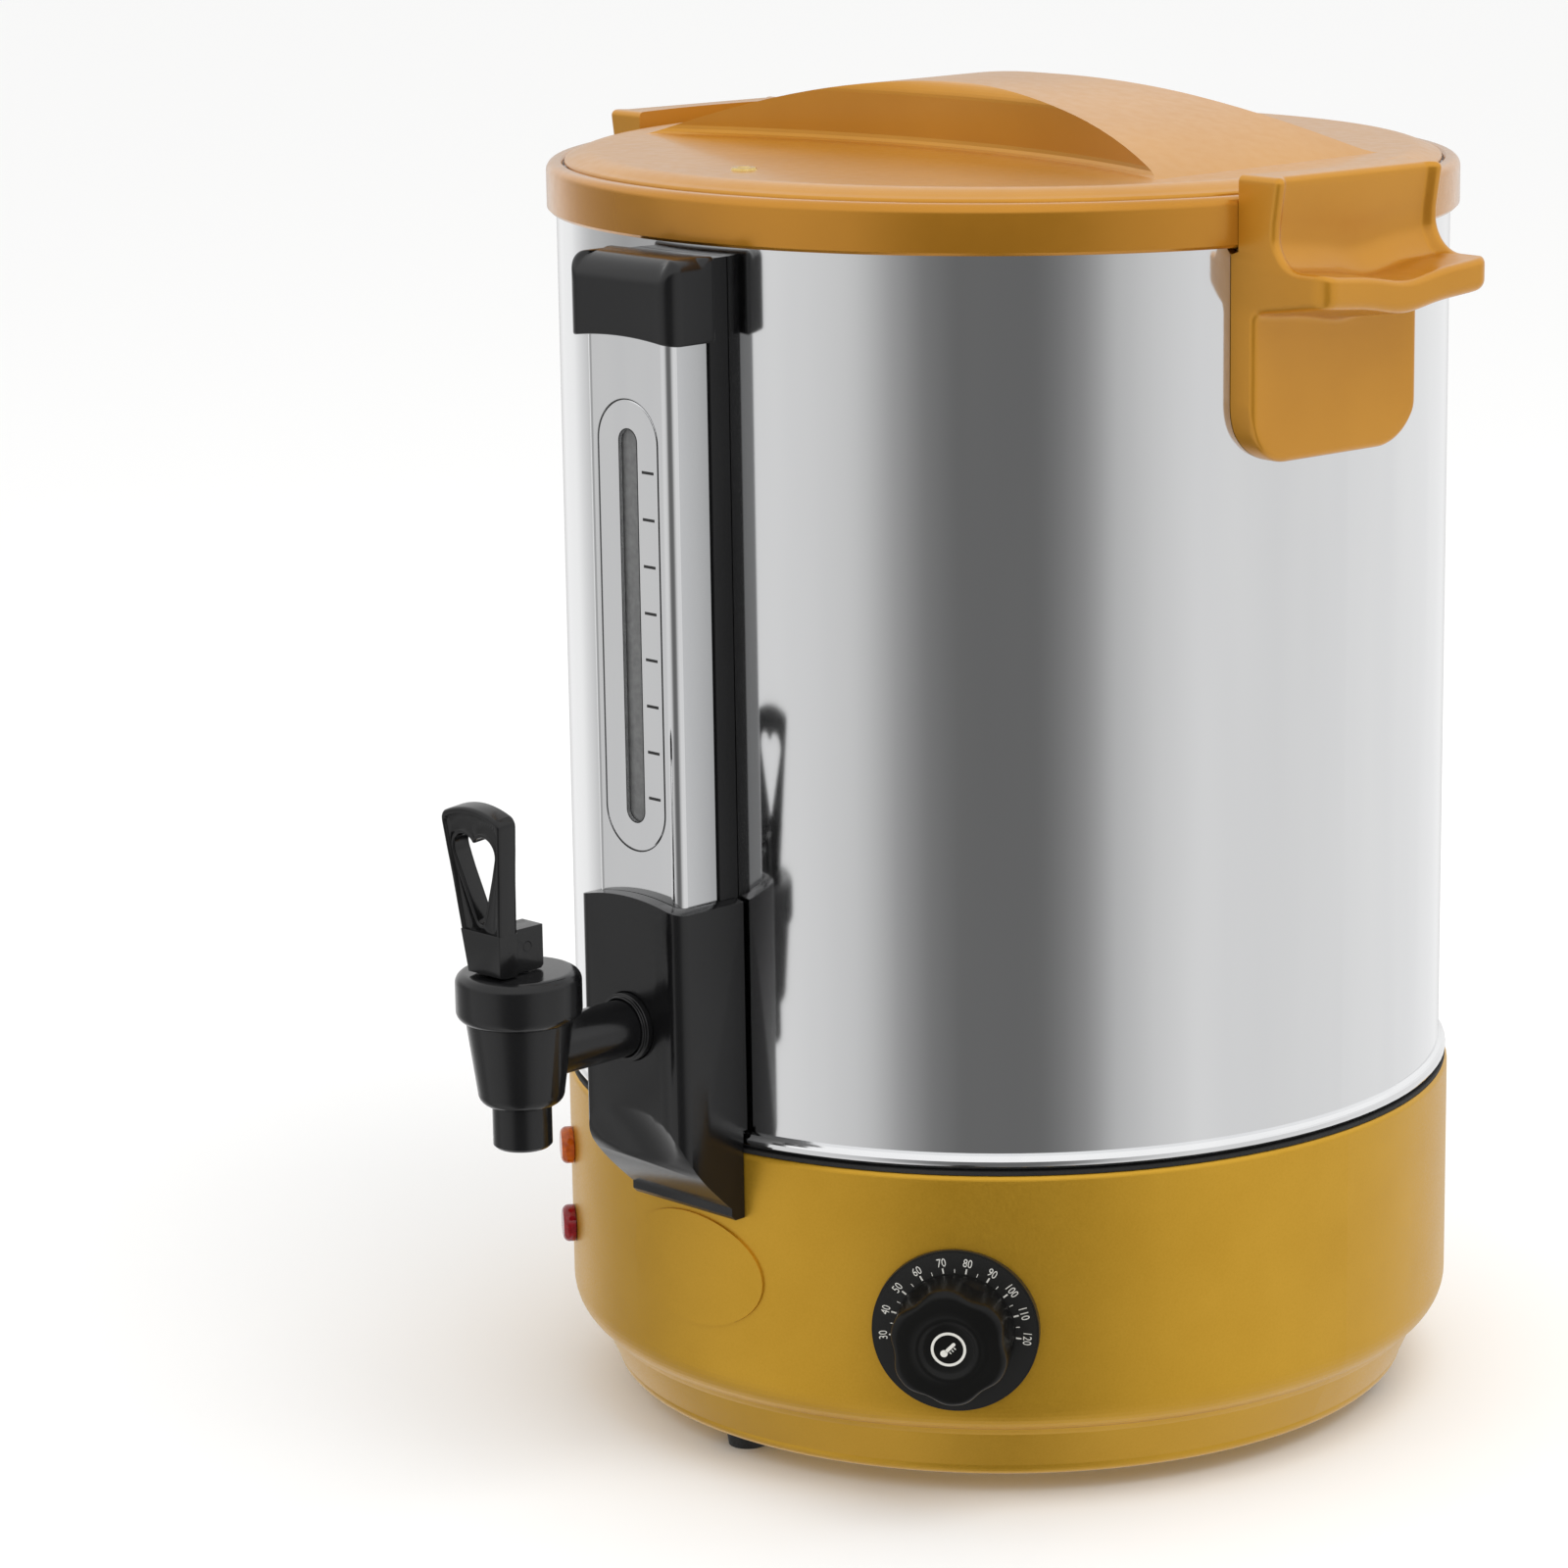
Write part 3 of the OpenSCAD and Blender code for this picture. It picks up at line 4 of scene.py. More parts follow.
import bmesh
import bpy
import numpy as np
from mathutils import Matrix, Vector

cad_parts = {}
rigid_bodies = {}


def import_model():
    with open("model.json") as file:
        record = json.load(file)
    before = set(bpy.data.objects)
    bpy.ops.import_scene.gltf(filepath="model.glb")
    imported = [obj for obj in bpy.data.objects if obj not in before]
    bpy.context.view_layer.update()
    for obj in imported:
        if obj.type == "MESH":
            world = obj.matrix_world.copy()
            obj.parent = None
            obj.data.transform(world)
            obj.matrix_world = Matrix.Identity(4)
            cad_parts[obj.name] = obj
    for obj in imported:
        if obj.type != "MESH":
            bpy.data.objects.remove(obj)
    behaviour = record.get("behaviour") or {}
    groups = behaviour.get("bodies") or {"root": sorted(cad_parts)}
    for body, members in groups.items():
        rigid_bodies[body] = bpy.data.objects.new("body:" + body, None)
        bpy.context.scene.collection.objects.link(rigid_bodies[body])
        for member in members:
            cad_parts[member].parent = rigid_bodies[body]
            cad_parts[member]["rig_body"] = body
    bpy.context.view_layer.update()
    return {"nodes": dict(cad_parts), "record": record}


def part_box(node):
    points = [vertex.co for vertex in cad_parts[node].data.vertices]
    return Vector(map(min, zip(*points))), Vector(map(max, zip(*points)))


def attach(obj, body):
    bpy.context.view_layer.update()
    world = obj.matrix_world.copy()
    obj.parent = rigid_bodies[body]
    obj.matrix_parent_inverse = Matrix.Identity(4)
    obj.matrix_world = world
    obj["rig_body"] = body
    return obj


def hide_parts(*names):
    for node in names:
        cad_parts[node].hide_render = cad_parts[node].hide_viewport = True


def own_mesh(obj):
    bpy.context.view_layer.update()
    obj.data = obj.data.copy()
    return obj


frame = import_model()
nodes = frame["nodes"]
scene = bpy.context.scene

# the vessel's axis, the floor is z = 0
shellLow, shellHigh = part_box("outer_shell")
axisX = (shellLow[0] + shellHigh[0]) / 2
axisY = (shellLow[1] + shellHigh[1]) / 2
print("frame loaded,", len(nodes), "nodes, axis at", round(axisX, 4), round(axisY, 4))


view = {
    "distance": 1.650,     # from the point aimed at on the vessel's axis
    "aimHeight": 0.2039,
    "pitch": 12.95,        # degrees down
    "azimuth": 43.0,       # degrees to the right of the tap
    "roll": -0.32,
    "lens": 113.34,
    "shift": (-0.1419, -0.0047),
}

studio = {
    "paper": (0.96, 0.96, 0.955, 1),
    "paperRough": 0.9,
    "floorHalf": 60,           # metres, so that no view shows the paper's edge
    "sky": 1.0,
    "ceiling": (0.06, 0.40),   # how far up the screens begin and end to give way to the sky
    # side, forward and up from the urn as the camera sees it, size in metres, watts
    "lamps": {"keyLamp": (0.7, 0.9, 1.9, 1.4, 15.0), "fillLamp": (-1.3, 0.6, 1.3, 1.2, 1.5)},
    "lampAim": 0.2,
    # brightness of the screens round the urn: degrees to the right of the camera, grey
    "screens": ((-180, 0.60), (-168, 0.72), (-160, 0.93), (-146, 0.90), (-130, 0.50), (-112, 0.36),
                (-98, 0.40), (-90, 0.62), (-86, 0.68), (-60, 0.72), (-50, 0.68), (-40, 0.61), (-36, 0.55),
                (-32, 0.45), (-28, 0.34), (-20, 0.20), (-12, 0.14), (8, 0.14), (14, 0.19), (20, 0.27),
                (24, 0.37), (28, 0.49), (38, 0.62), (50, 0.73), (75, 0.72), (110, 0.79), (130, 0.83),
                (146, 0.88), (160, 0.93), (172, 0.72), (180, 0.60)),
}


def placeCamera():
    cam = bpy.data.objects.new("camera", bpy.data.cameras.new("camera"))
    scene.collection.objects.link(cam)
    pitch, azimuth = math.radians(view["pitch"]), math.radians(view["azimuth"])
    flat = view["distance"] * math.cos(pitch)
    cam.location = (axisX + flat * math.sin(azimuth), axisY - flat * math.cos(azimuth),
                    view["aimHeight"] + view["distance"] * math.sin(pitch))
    look = Matrix.Rotation(azimuth, 3, "Z") @ Matrix.Rotation(math.pi / 2 - pitch, 3, "X")
    cam.rotation_euler = (look @ Matrix.Rotation(math.radians(view["roll"]), 3, "Z")).to_euler()
    cam.data.sensor_width = 36
    cam.data.lens = view["lens"]
    cam.data.shift_x, cam.data.shift_y = view["shift"]
    scene.camera = cam


def layFloor():
    half = studio["floorHalf"]
    mesh = bpy.data.meshes.new("floor")
    corners = [(-half, -half, 0), (half, -half, 0), (half, half, 0), (-half, half, 0)]
    mesh.from_pydata(corners, [], [(0, 1, 2, 3)])
    floor = bpy.data.objects.new("floor", mesh)
    scene.collection.objects.link(floor)
    mat = bpy.data.materials.new("floorPaper")
    mat.use_nodes = True
    shader = mat.node_tree.nodes["Principled BSDF"]
    shader.inputs["Base Color"].default_value = studio["paper"]
    shader.inputs["Roughness"].default_value = studio["paperRough"]
    shader.inputs["Specular IOR Level"].default_value = 0
    mesh.materials.append(mat)
    floor.visible_glossy = False       # the steel shows the screens, not the paper


def lightStudio():
    # soft screens stand round the urn, a white ceiling above them
    scene.view_settings.view_transform = "Standard"
    world = bpy.data.worlds.new("studio")
    scene.world = world
    world.use_nodes = True
    tree = world.node_tree
    back = tree.nodes["Background"]
    coord = tree.nodes.new("ShaderNodeTexCoord")
    turn = tree.nodes.new("ShaderNodeMapping")
    turn.inputs["Rotation"].default_value[2] = math.radians(90 - view["azimuth"])
    around = tree.nodes.new("ShaderNodeTexGradient")
    around.gradient_type = "RADIAL"
    ramp = tree.nodes.new("ShaderNodeValToRGB")
    stops = ramp.color_ramp.elements
    while len(stops) < len(studio["screens"]):
        stops.new(0.5)
    for stop, (angle, grey) in zip(stops, studio["screens"]):
        stop.position = angle / 360 + 0.5
        stop.color = (grey, grey, grey, 1)
    height = tree.nodes.new("ShaderNodeSeparateXYZ")
    rise = tree.nodes.new("ShaderNodeMapRange")
    rise.interpolation_type = "SMOOTHSTEP"
    rise.inputs["From Min"].default_value, rise.inputs["From Max"].default_value = studio["ceiling"]
    mix = tree.nodes.new("ShaderNodeMix")
    mix.data_type = "RGBA"
    mix.inputs["B"].default_value = (studio["sky"], studio["sky"], studio["sky"], 1)
    link = tree.links.new
    link(coord.outputs["Generated"], turn.inputs["Vector"])
    link(turn.outputs["Vector"], around.inputs["Vector"])
    link(around.outputs["Fac"], ramp.inputs["Fac"])
    link(coord.outputs["Generated"], height.inputs["Vector"])
    link(height.outputs["Z"], rise.inputs["Value"])
    link(rise.outputs["Result"], mix.inputs["Factor"])
    link(ramp.outputs["Color"], mix.inputs["A"])
    link(mix.outputs["Result"], back.inputs["Color"])

    a = math.radians(view["azimuth"])
    for name, (side, forward, up, size, power) in studio["lamps"].items():
        # a square lamp that looks at the urn's middle
        lamp = bpy.data.objects.new(name, bpy.data.lights.new(name, "AREA"))
        scene.collection.objects.link(lamp)
        x = axisX + side * math.cos(a) + forward * math.sin(a)
        y = axisY + side * math.sin(a) - forward * math.cos(a)
        lamp.location = (x, y, up)
        tilt = math.atan2(math.hypot(side, forward), up - studio["lampAim"])
        lamp.rotation_euler = (tilt, 0, math.atan2(axisX - x, y - axisY) + math.pi)
        lamp.data.size = size
        lamp.data.energy = power
        lamp.visible_glossy = False


placeCamera()
layFloor()
lightStudio()
print("camera, floor and light placed")


def newFinish(name, rough, metal=0.0):
    mat = bpy.data.materials.new(name)
    mat.use_nodes = True
    shader = mat.node_tree.nodes["Principled BSDF"]
    shader.inputs["Metallic"].default_value = metal
    shader.inputs["Roughness"].default_value = rough
    return mat, mat.node_tree, shader


def grainOn(tree, size, stretch=(1, 1, 1), detail=3.0):
    # noise on Object coordinates, its grain about size metres across, drawn out by stretch
    coord = tree.nodes.new("ShaderNodeTexCoord")
    mapping = tree.nodes.new("ShaderNodeMapping")
    mapping.inputs["Scale"].default_value = [1 / s / size for s in stretch]
    noise = tree.nodes.new("ShaderNodeTexNoise")
    noise.inputs["Scale"].default_value = 1.0
    noise.inputs["Detail"].default_value = detail
    tree.links.new(coord.outputs["Object"], mapping.inputs["Vector"])
    tree.links.new(mapping.outputs["Vector"], noise.inputs["Vector"])
    return noise.outputs["Fac"]


def roundGrain(tree, size, ringSize, detail=3.0):
    # noise drawn out round the vessel's axis: it reads the distance from the axis and the height
    coord = tree.nodes.new("ShaderNodeTexCoord")
    shift = tree.nodes.new("ShaderNodeMapping")
    shift.inputs["Location"].default_value = (-axisX, -axisY, 0)
    split = tree.nodes.new("ShaderNodeSeparateXYZ")
    radius = tree.nodes.new("ShaderNodeVectorMath")
    radius.operation = "LENGTH"
    flat = tree.nodes.new("ShaderNodeCombineXYZ")
    join = tree.nodes.new("ShaderNodeCombineXYZ")
    scaled = tree.nodes.new("ShaderNodeVectorMath")
    scaled.operation = "MULTIPLY"
    scaled.inputs[1].default_value = (1 / size, 1 / ringSize, 1 / size)
    noise = tree.nodes.new("ShaderNodeTexNoise")
    noise.inputs["Scale"].default_value = 1.0
    noise.inputs["Detail"].default_value = detail
    link = tree.links.new
    link(coord.outputs["Object"], shift.inputs["Vector"])
    link(shift.outputs["Vector"], split.inputs["Vector"])
    link(split.outputs["X"], flat.inputs["X"])
    link(split.outputs["Y"], flat.inputs["Y"])
    link(flat.outputs["Vector"], radius.inputs[0])
    link(radius.outputs["Value"], join.inputs["X"])
    link(split.outputs["X"], join.inputs["Y"])
    link(split.outputs["Z"], join.inputs["Z"])
    link(join.outputs["Vector"], scaled.inputs[0])
    link(scaled.outputs["Vector"], noise.inputs["Vector"])
    return noise.outputs["Fac"]


noiseSpan = (0.3, 0.7)     # where nearly all values of a noise lie


def spread(tree, fac, low, high):
    # carries a noise value to the range low to high
    span = tree.nodes.new("ShaderNodeMapRange")
    span.inputs["From Min"].default_value, span.inputs["From Max"].default_value = noiseSpan
    span.inputs["To Min"].default_value = low
    span.inputs["To Max"].default_value = high
    tree.links.new(fac, span.inputs["Value"])
    return span.outputs["Result"]


def tint(tree, shader, fac, dark, light):
    # the base colour wanders between two close shades
    mix = tree.nodes.new("ShaderNodeMix")
    mix.data_type = "RGBA"
    mix.inputs["A"].default_value = (*dark, 1)
    mix.inputs["B"].default_value = (*light, 1)
    tree.links.new(spread(tree, fac, 0, 1), mix.inputs["Factor"])
    tree.links.new(mix.outputs["Result"], shader.inputs["Base Color"])


def glossWith(tree, shader, fac, low, high):
    tree.links.new(spread(tree, fac, low, high), shader.inputs["Roughness"])


def bumpWith(tree, shader, fac, depth, strength):
    bump = tree.nodes.new("ShaderNodeBump")
    bump.inputs["Strength"].default_value = strength
    bump.inputs["Distance"].default_value = depth
    tree.links.new(fac, bump.inputs["Height"])
    tree.links.new(bump.outputs["Normal"], shader.inputs["Normal"])


def metalFinish(name, dark, light, rough, grain, bump=0.0):
    # bare or plated metal: shade, gloss and a faint bump all follow one grain
    mat, tree, shader = newFinish(name, rough[0], metal=1.0)
    fac = grain(tree)
    tint(tree, shader, fac, dark, light)
    glossWith(tree, shader, fac, *rough)
    if bump:
        bumpWith(tree, shader, fac, bump, strength=0.3)
    return mat


def mouldedFinish(name, dark, light, rough, skin, bump=0.0, coat=0.0, ior=1.5, metal=0.0):
    # moulded plastic: a broad drift in shade, a fine skin in gloss and bump
    mat, tree, shader = newFinish(name, rough[0], metal)
    shader.inputs["IOR"].default_value = ior
    shader.inputs["Coat Weight"].default_value = coat
    shader.inputs["Coat Roughness"].default_value = 0.12
    tint(tree, shader, grainOn(tree, size=0.05, detail=2), dark, light)
    fac = grainOn(tree, skin, detail=1)
    glossWith(tree, shader, fac, *rough)
    if bump:
        bumpWith(tree, shader, fac, bump, strength=0.25)
    return mat


def paintedFinish(name, dark, light, metal, rough, coat):
    # metallic paint: a drift in shade, flakes that sparkle through the gloss
    mat, tree, shader = newFinish(name, rough, metal)
    shader.inputs["Coat Weight"].default_value = coat
    shader.inputs["Coat Roughness"].default_value = 0.22
    drift = grainOn(tree, size=0.03, detail=3)
    flake = grainOn(tree, size=0.0007, detail=2)
    both = tree.nodes.new("ShaderNodeMix")
    both.inputs["Factor"].default_value = 0.5
    tree.links.new(drift, both.inputs["A"])
    tree.links.new(flake, both.inputs["B"])
    tint(tree, shader, both.outputs["Result"], dark, light)
    glossWith(tree, shader, flake, rough - 0.06, rough + 0.08)
    bumpWith(tree, shader, flake, depth=0.00006, strength=0.3)
    return mat


def clearFinish(name, dark, light, rough, through, glow=0.0):
    # glass or a coloured lens: tinted, let through in part, with a faint drift
    mat, tree, shader = newFinish(name, rough)
    shader.inputs["Transmission Weight"].default_value = through
    shader.inputs["IOR"].default_value = 1.49
    fac = grainOn(tree, size=0.002, detail=2)
    tint(tree, shader, fac, dark, light)
    glossWith(tree, shader, fac, rough, rough + 0.05)
    if glow:
        shader.inputs["Emission Color"].default_value = (*light, 1)
        shader.inputs["Emission Strength"].default_value = glow
    return mat


# two close shades, the range of roughness, the grain or skin in metres, the depth of the bump in metres
finishes = {
    "jacket_steel": metalFinish("mirrorSteel", (0.84, 0.845, 0.855), (0.875, 0.88, 0.885), (0.07, 0.10),
                                lambda t: grainOn(t, 0.02, (1, 1, 12), 2)),
    "gauge_chrome": metalFinish("brightPlate", (0.84, 0.845, 0.855), (0.88, 0.885, 0.89), (0.06, 0.11),
                                lambda t: grainOn(t, 0.012, (1, 1, 8), 2)),
    "tank_steel": metalFinish("drawnSteel", (0.66, 0.665, 0.67), (0.76, 0.765, 0.77), (0.22, 0.36),
                              lambda t: roundGrain(t, 0.0006, 0.05), bump=0.00002),
    "zinc_steel": metalFinish("zincPlate", (0.55, 0.56, 0.57), (0.70, 0.70, 0.69), (0.26, 0.42),
                              lambda t: grainOn(t, 0.002), bump=0.00002),
    "brass": metalFinish("brightBrass", (0.66, 0.45, 0.15), (0.80, 0.58, 0.24), (0.16, 0.30),
                         lambda t: grainOn(t, 0.0015), bump=0.00001),
    "control_metal": metalFinish("rolledAluminium", (0.56, 0.56, 0.565), (0.66, 0.66, 0.66), (0.30, 0.45),
                                 lambda t: grainOn(t, 0.0008, (12, 1, 1)), bump=0.00002),
    "heater_dark": metalFinish("heatedSheath", (0.20, 0.18, 0.16), (0.38, 0.34, 0.30), (0.42, 0.62),
                               lambda t: grainOn(t, 0.006), bump=0.00005),
    "gold_paint": paintedFinish("goldPaint", (0.58, 0.315, 0.018), (0.66, 0.37, 0.03),
                                metal=0.72, rough=0.38, coat=0.12),
    "gold_plastic": mouldedFinish("amberMoulding", (0.555, 0.242, 0.012), (0.605, 0.272, 0.018), (0.30, 0.36),
                                  0.004, coat=0.4, metal=0.55),
    "black_plastic": mouldedFinish("blackGloss", (0.004, 0.004, 0.0043), (0.007, 0.007, 0.0075), (0.15, 0.22),
                                   0.0012, bump=0.00001, ior=1.47),
    "dial_black": mouldedFinish("blackSatin", (0.008, 0.008, 0.0075), (0.013, 0.013, 0.012), (0.36, 0.48),
                                0.0004, bump=0.00004),
    "rubber": mouldedFinish("blackRubber", (0.010, 0.010, 0.010), (0.018, 0.018, 0.018), (0.62, 0.80),
                            0.0008, bump=0.00008),
    "silicone": mouldedFinish("paleSilicone", (0.60, 0.58, 0.53), (0.72, 0.70, 0.65), (0.42, 0.58),
                              0.001, bump=0.00003),
    "lamp_white": mouldedFinish("lampWhite", (0.70, 0.68, 0.62), (0.80, 0.78, 0.73), (0.40, 0.52),
                                0.001, bump=0.00003),
    "sight_glass": clearFinish("sightGlass", (0.15, 0.152, 0.152), (0.19, 0.192, 0.192), rough=0.22, through=0.1),
    "amber_lamp": clearFinish("amberLens", (0.42, 0.070, 0.003), (0.66, 0.14, 0.006),
                              rough=0.05, through=0.40, glow=0.03),
    "red_lamp": clearFinish("redLens", (0.24, 0.006, 0.010), (0.36, 0.010, 0.018),
                            rough=0.05, through=0.35, glow=0.02),
}

# finishes of single pieces that differ from the rest of their slot
collarPaint = mouldedFinish("collarPaint", (0.51, 0.215, 0.010), (0.56, 0.24, 0.015), (0.20, 0.26),
                            0.004, coat=0.45, metal=0.65)
knobBlack = mouldedFinish("knobBlack", (0.003, 0.003, 0.0028), (0.006, 0.006, 0.0055), (0.30, 0.40),
                          0.0004, bump=0.00004, ior=1.3)
paleMark = mouldedFinish("paleMark", (0.62, 0.61, 0.56), (0.74, 0.73, 0.68), (0.50, 0.60), 0.0005, bump=0.00001)
# a dark colour for printed level lines and for painted shade bands on the gauge
inkAndShadeMark = mouldedFinish("inkAndShadeMark", (0.012, 0.012, 0.012), (0.022, 0.022, 0.022), (0.50, 0.60), 0.0005, bump=0.00001)

slotOf = {part["node"]: part["material_slot"] for part in frame["record"]["subparts"]}


def finishNode(name, mat):
    # a carried-over solid takes its finish through its own slots
    mesh = nodes[name].data
    if not mesh.materials:
        mesh.materials.append(mat)
    for i in range(len(mesh.materials)):
        mesh.materials[i] = mat


for nodeName, slotName in slotOf.items():
    finishNode(nodeName, finishes[slotName])
finishNode("rim_collar", collarPaint)
finishNode("lever_pin", finishes["black_plastic"])
print("finishes on", len(slotOf), "nodes")


def toFrame(points):
    # millimetres about the vessel's axis to metres in the frame
    return np.asarray(points, float) * 0.001 + np.array((axisX, axisY, 0.0))


def spun(points, degrees):
    # turns points about the vessel's axis
    a = math.radians(degrees)
    turn = np.array(((math.cos(a), -math.sin(a), 0), (math.sin(a), math.cos(a), 0), (0, 0, 1)))
    return points @ turn.T


def onSkirt(points, angle, height, radius):
    # local x to the right, y up and z outwards, to a place on the skirt at that angle from the tap
    x, y, z = np.moveaxis(np.asarray(points, float), -1, 0)
    return spun(np.stack((x, -z - radius, y + height), -1), angle)


def quads(rows, cols, closeRows=False, closeCols=False):
    # the faces between neighbouring points of a grid, joined end to end where it closes
    r, c = np.meshgrid(np.arange(rows - (not closeRows)), np.arange(cols - (not closeCols)), indexing="ij")
    r2, c2 = (r + 1) % rows, (c + 1) % cols
    return np.stack((r * cols + c, r * cols + c2, r2 * cols + c2, r2 * cols + c), -1).reshape(-1, 4).tolist()


def endCaps(rows, cols):
    # one face over the first and one over the last ring of a closed grid
    return [list(range(cols)), list(range((rows - 1) * cols, rows * cols))]


def addPiece(name, points, faces, body, mat, smooth=True, sharp=None):
    mesh = bpy.data.meshes.new(name)
    mesh.from_pydata(toFrame(points).reshape(-1, 3), [], faces)
    tidy = bmesh.new()
    tidy.from_mesh(mesh)
    bmesh.ops.remove_doubles(tidy, verts=tidy.verts, dist=1e-6)
    bmesh.ops.dissolve_degenerate(tidy, edges=tidy.edges, dist=1e-6)
    bmesh.ops.recalc_face_normals(tidy, faces=tidy.faces)
    tidy.to_mesh(mesh)
    tidy.free()
    if smooth:
        mesh.shade_smooth()
    else:
        mesh.shade_flat()
    if sharp:
        mesh.set_sharp_from_angle(angle=math.radians(sharp))
    mesh.materials.append(mat)
    piece = bpy.data.objects.new(name, mesh)
    scene.collection.objects.link(piece)
    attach(piece, body)
    return piece


def arcPoints(cx, cz, r, a, b, n):
    # n points of an arc about (cx, cz); the centre may differ from station to station
    t = np.radians(np.linspace(a, b, n))
    cx, cz = np.asarray(cx, float)[..., None], np.asarray(cz, float)[..., None]
    return np.stack((cx + r * np.cos(t), cz + r * np.sin(t)), -1)


def linePoints(x0, z0, x1, z1, n):
    # n points of a straight run, its two ends left out
    t = np.linspace(0, 1, n + 2)[1:-1]
    x0, z0, x1, z1 = np.broadcast_arrays(*(np.asarray(v, float)[..., None] for v in (x0, z0, x1, z1)))
    return np.stack((x0 + (x1 - x0) * t, z0 + (z1 - z0) * t), -1)


def smoothStep(v, low, high):
    t = np.clip((v - low) / (high - low), 0, 1)
    return t * t * (3 - 2 * t)


handleSpec = {
    "halfWidth": 36.2, "foot": 330.0, "top": 418.0, "turn": 4.5,
    "plateX": 150.2, "uprightX": 158.2, "lipX": 180.4,
    "lipUp": 50.6, "lipThick": 10.2, "lipDrop": 3.4, "sag": 1.6, "hollow": 2.8, "lipCorner": 5.0,
    "cove": 11.0, "flare": 2.2, "scoop": 2.3, "rim": 3.4, "edge": 2.0, "corner": 16.0,
    "jacketR": 145.2, "collarR": 148.2, "collarZ": 394.0,
    "rounds": (2.5, 3.0, 3.6, 2.2, 2.0),     # plate's foot, under the lip, nose low and high, top edge
    "hollowWide": 13.0, "stations": 121,
}


def handlePoints():
    # a side profile (plate, underside of the lip, blunt nose, cove, upright, top) carried across the width, with
    # the vessel's curve behind it: between two end rims the upright and the lip's top sink, the lip sags and has a
    # hollow in its middle, and the last stations are drawn in along the profile's normal to round the ends
    h = handleSpec
    half, edge = h["halfWidth"], h["edge"]
    bend = np.radians(np.linspace(0, 90, 7))
    ends = half - edge + edge * np.sin(bend)
    inner = np.linspace(-half + edge, half - edge, h["stations"])[1:-1]
    y = np.concatenate((-ends[::-1], inner, ends))
    roundIn = edge * (1 - np.cos(bend))
    drawIn = np.concatenate((roundIn[::-1], 0 * inner, roundIn))[:, None, None]
    far = np.abs(y)
    middle = 1 - smoothStep(far, half - h["rim"] - 2.2, half - h["rim"] + 1.0)
    dip = -h["sag"] * (1 - (far / half) ** 4) - h["hollow"] * np.exp(-(far / h["hollowWide"]) ** 2)
    past = np.clip(far - half + h["lipCorner"], 0, h["lipCorner"])
    tip = h["lipX"] - h["lipCorner"] + np.sqrt(np.maximum(h["lipCorner"] ** 2 - past ** 2, 0))
    turned = h["corner"]
    low = h["foot"] + turned - np.sqrt(np.maximum(turned ** 2 - np.maximum(far - half + turned, 0) ** 2, 0))
    plate, up = np.full_like(y, h["plateX"]), np.full_like(y, h["uprightX"])
    lip = h["foot"] + h["lipUp"] + dip
    lipTop = lip + h["lipThick"]
    under = lip - h["lipDrop"]
    top, crest, cove = np.full_like(y, h["top"]), up + h["flare"], h["cove"]
    toe, root, chin, brow, crown = h["rounds"]
    runs = (arcPoints(plate - toe, low + toe, toe, -90, 0, 6),
            linePoints(plate, low + toe, plate, under - root, 10),
            arcPoints(plate + root, under - root, root, 180, 98, 6),
            linePoints(plate + 2.6, under - 0.05, tip - 3.2, lip + 0.02, 6),
            arcPoints(tip - chin, lip + chin, chin, -84, 0, 8),
            arcPoints(tip - brow, lipTop - brow, brow, 0, 90, 8),
            linePoints(tip - brow, lipTop, up + cove, lipTop, 9),
            arcPoints(up + cove, lipTop + cove, cove, -90, -172, 14),
            linePoints(up + 0.1, lipTop + cove + 1.3, crest, top - 2.2, 9),
            arcPoints(crest - crown, top - crown, crown, 0, 90, 6))
    front = np.concatenate(runs, 1)
    # how much of the sinking each run takes: none up to the nose, growing over the lip's top, all of it above
    counts = [r.shape[1] for r in runs]
    sink = np.concatenate((np.zeros(sum(counts[:6])), smoothStep(np.linspace(0, 1, counts[6]), 0, 0.7),
                           np.ones(sum(counts[7:]))))
    along = np.gradient(front, axis=1)
    normal = np.stack((along[..., 1], -along[..., 0]), -1)
    normal /= np.maximum(np.linalg.norm(normal, axis=-1, keepdims=True), 1e-9)
    inward = normal.copy()
    inward[:, sum(counts[:8]):] = (1, 0)     # the upright sinks level, so that its top edge stays straight
    front = front - normal * drawIn - inward * h["scoop"] * middle[:, None, None] * sink[None, :, None]
    z = np.maximum.accumulate(front[..., 1], 1)
    front[..., 1] = z
    radius = np.where(z > h["collarZ"], h["collarR"], h["jacketR"])
    back = np.stack((np.sqrt(radius ** 2 - y[:, None] ** 2), z), -1)
    loop = np.concatenate((front, back[:, ::-1]), 1)
    return np.stack((loop[..., 0], np.broadcast_to(y[:, None], loop.shape[:2]), loop[..., 1]), -1)


def makeHandle(name, node, degrees):
    grid = handlePoints()
    rows, cols = grid.shape[:2]
    faces = quads(rows, cols, closeCols=True)
    i = np.arange(cols // 2 - 1)
    for start in (0, (rows - 1) * cols):     # the flat ends, front to back
        faces += (start + np.stack((i, i + 1, cols - 2 - i, cols - 1 - i), -1)).tolist()
    piece = addPiece(name, spun(grid.reshape(-1, 3), degrees), faces, "urn",
                     finishes["gold_plastic"], sharp=50)
    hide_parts(node)


makeHandle("handleRight", "handle_right", -handleSpec["turn"])
makeHandle("handleLeft", "handle_left", 180 - handleSpec["turn"])
print("handles made")


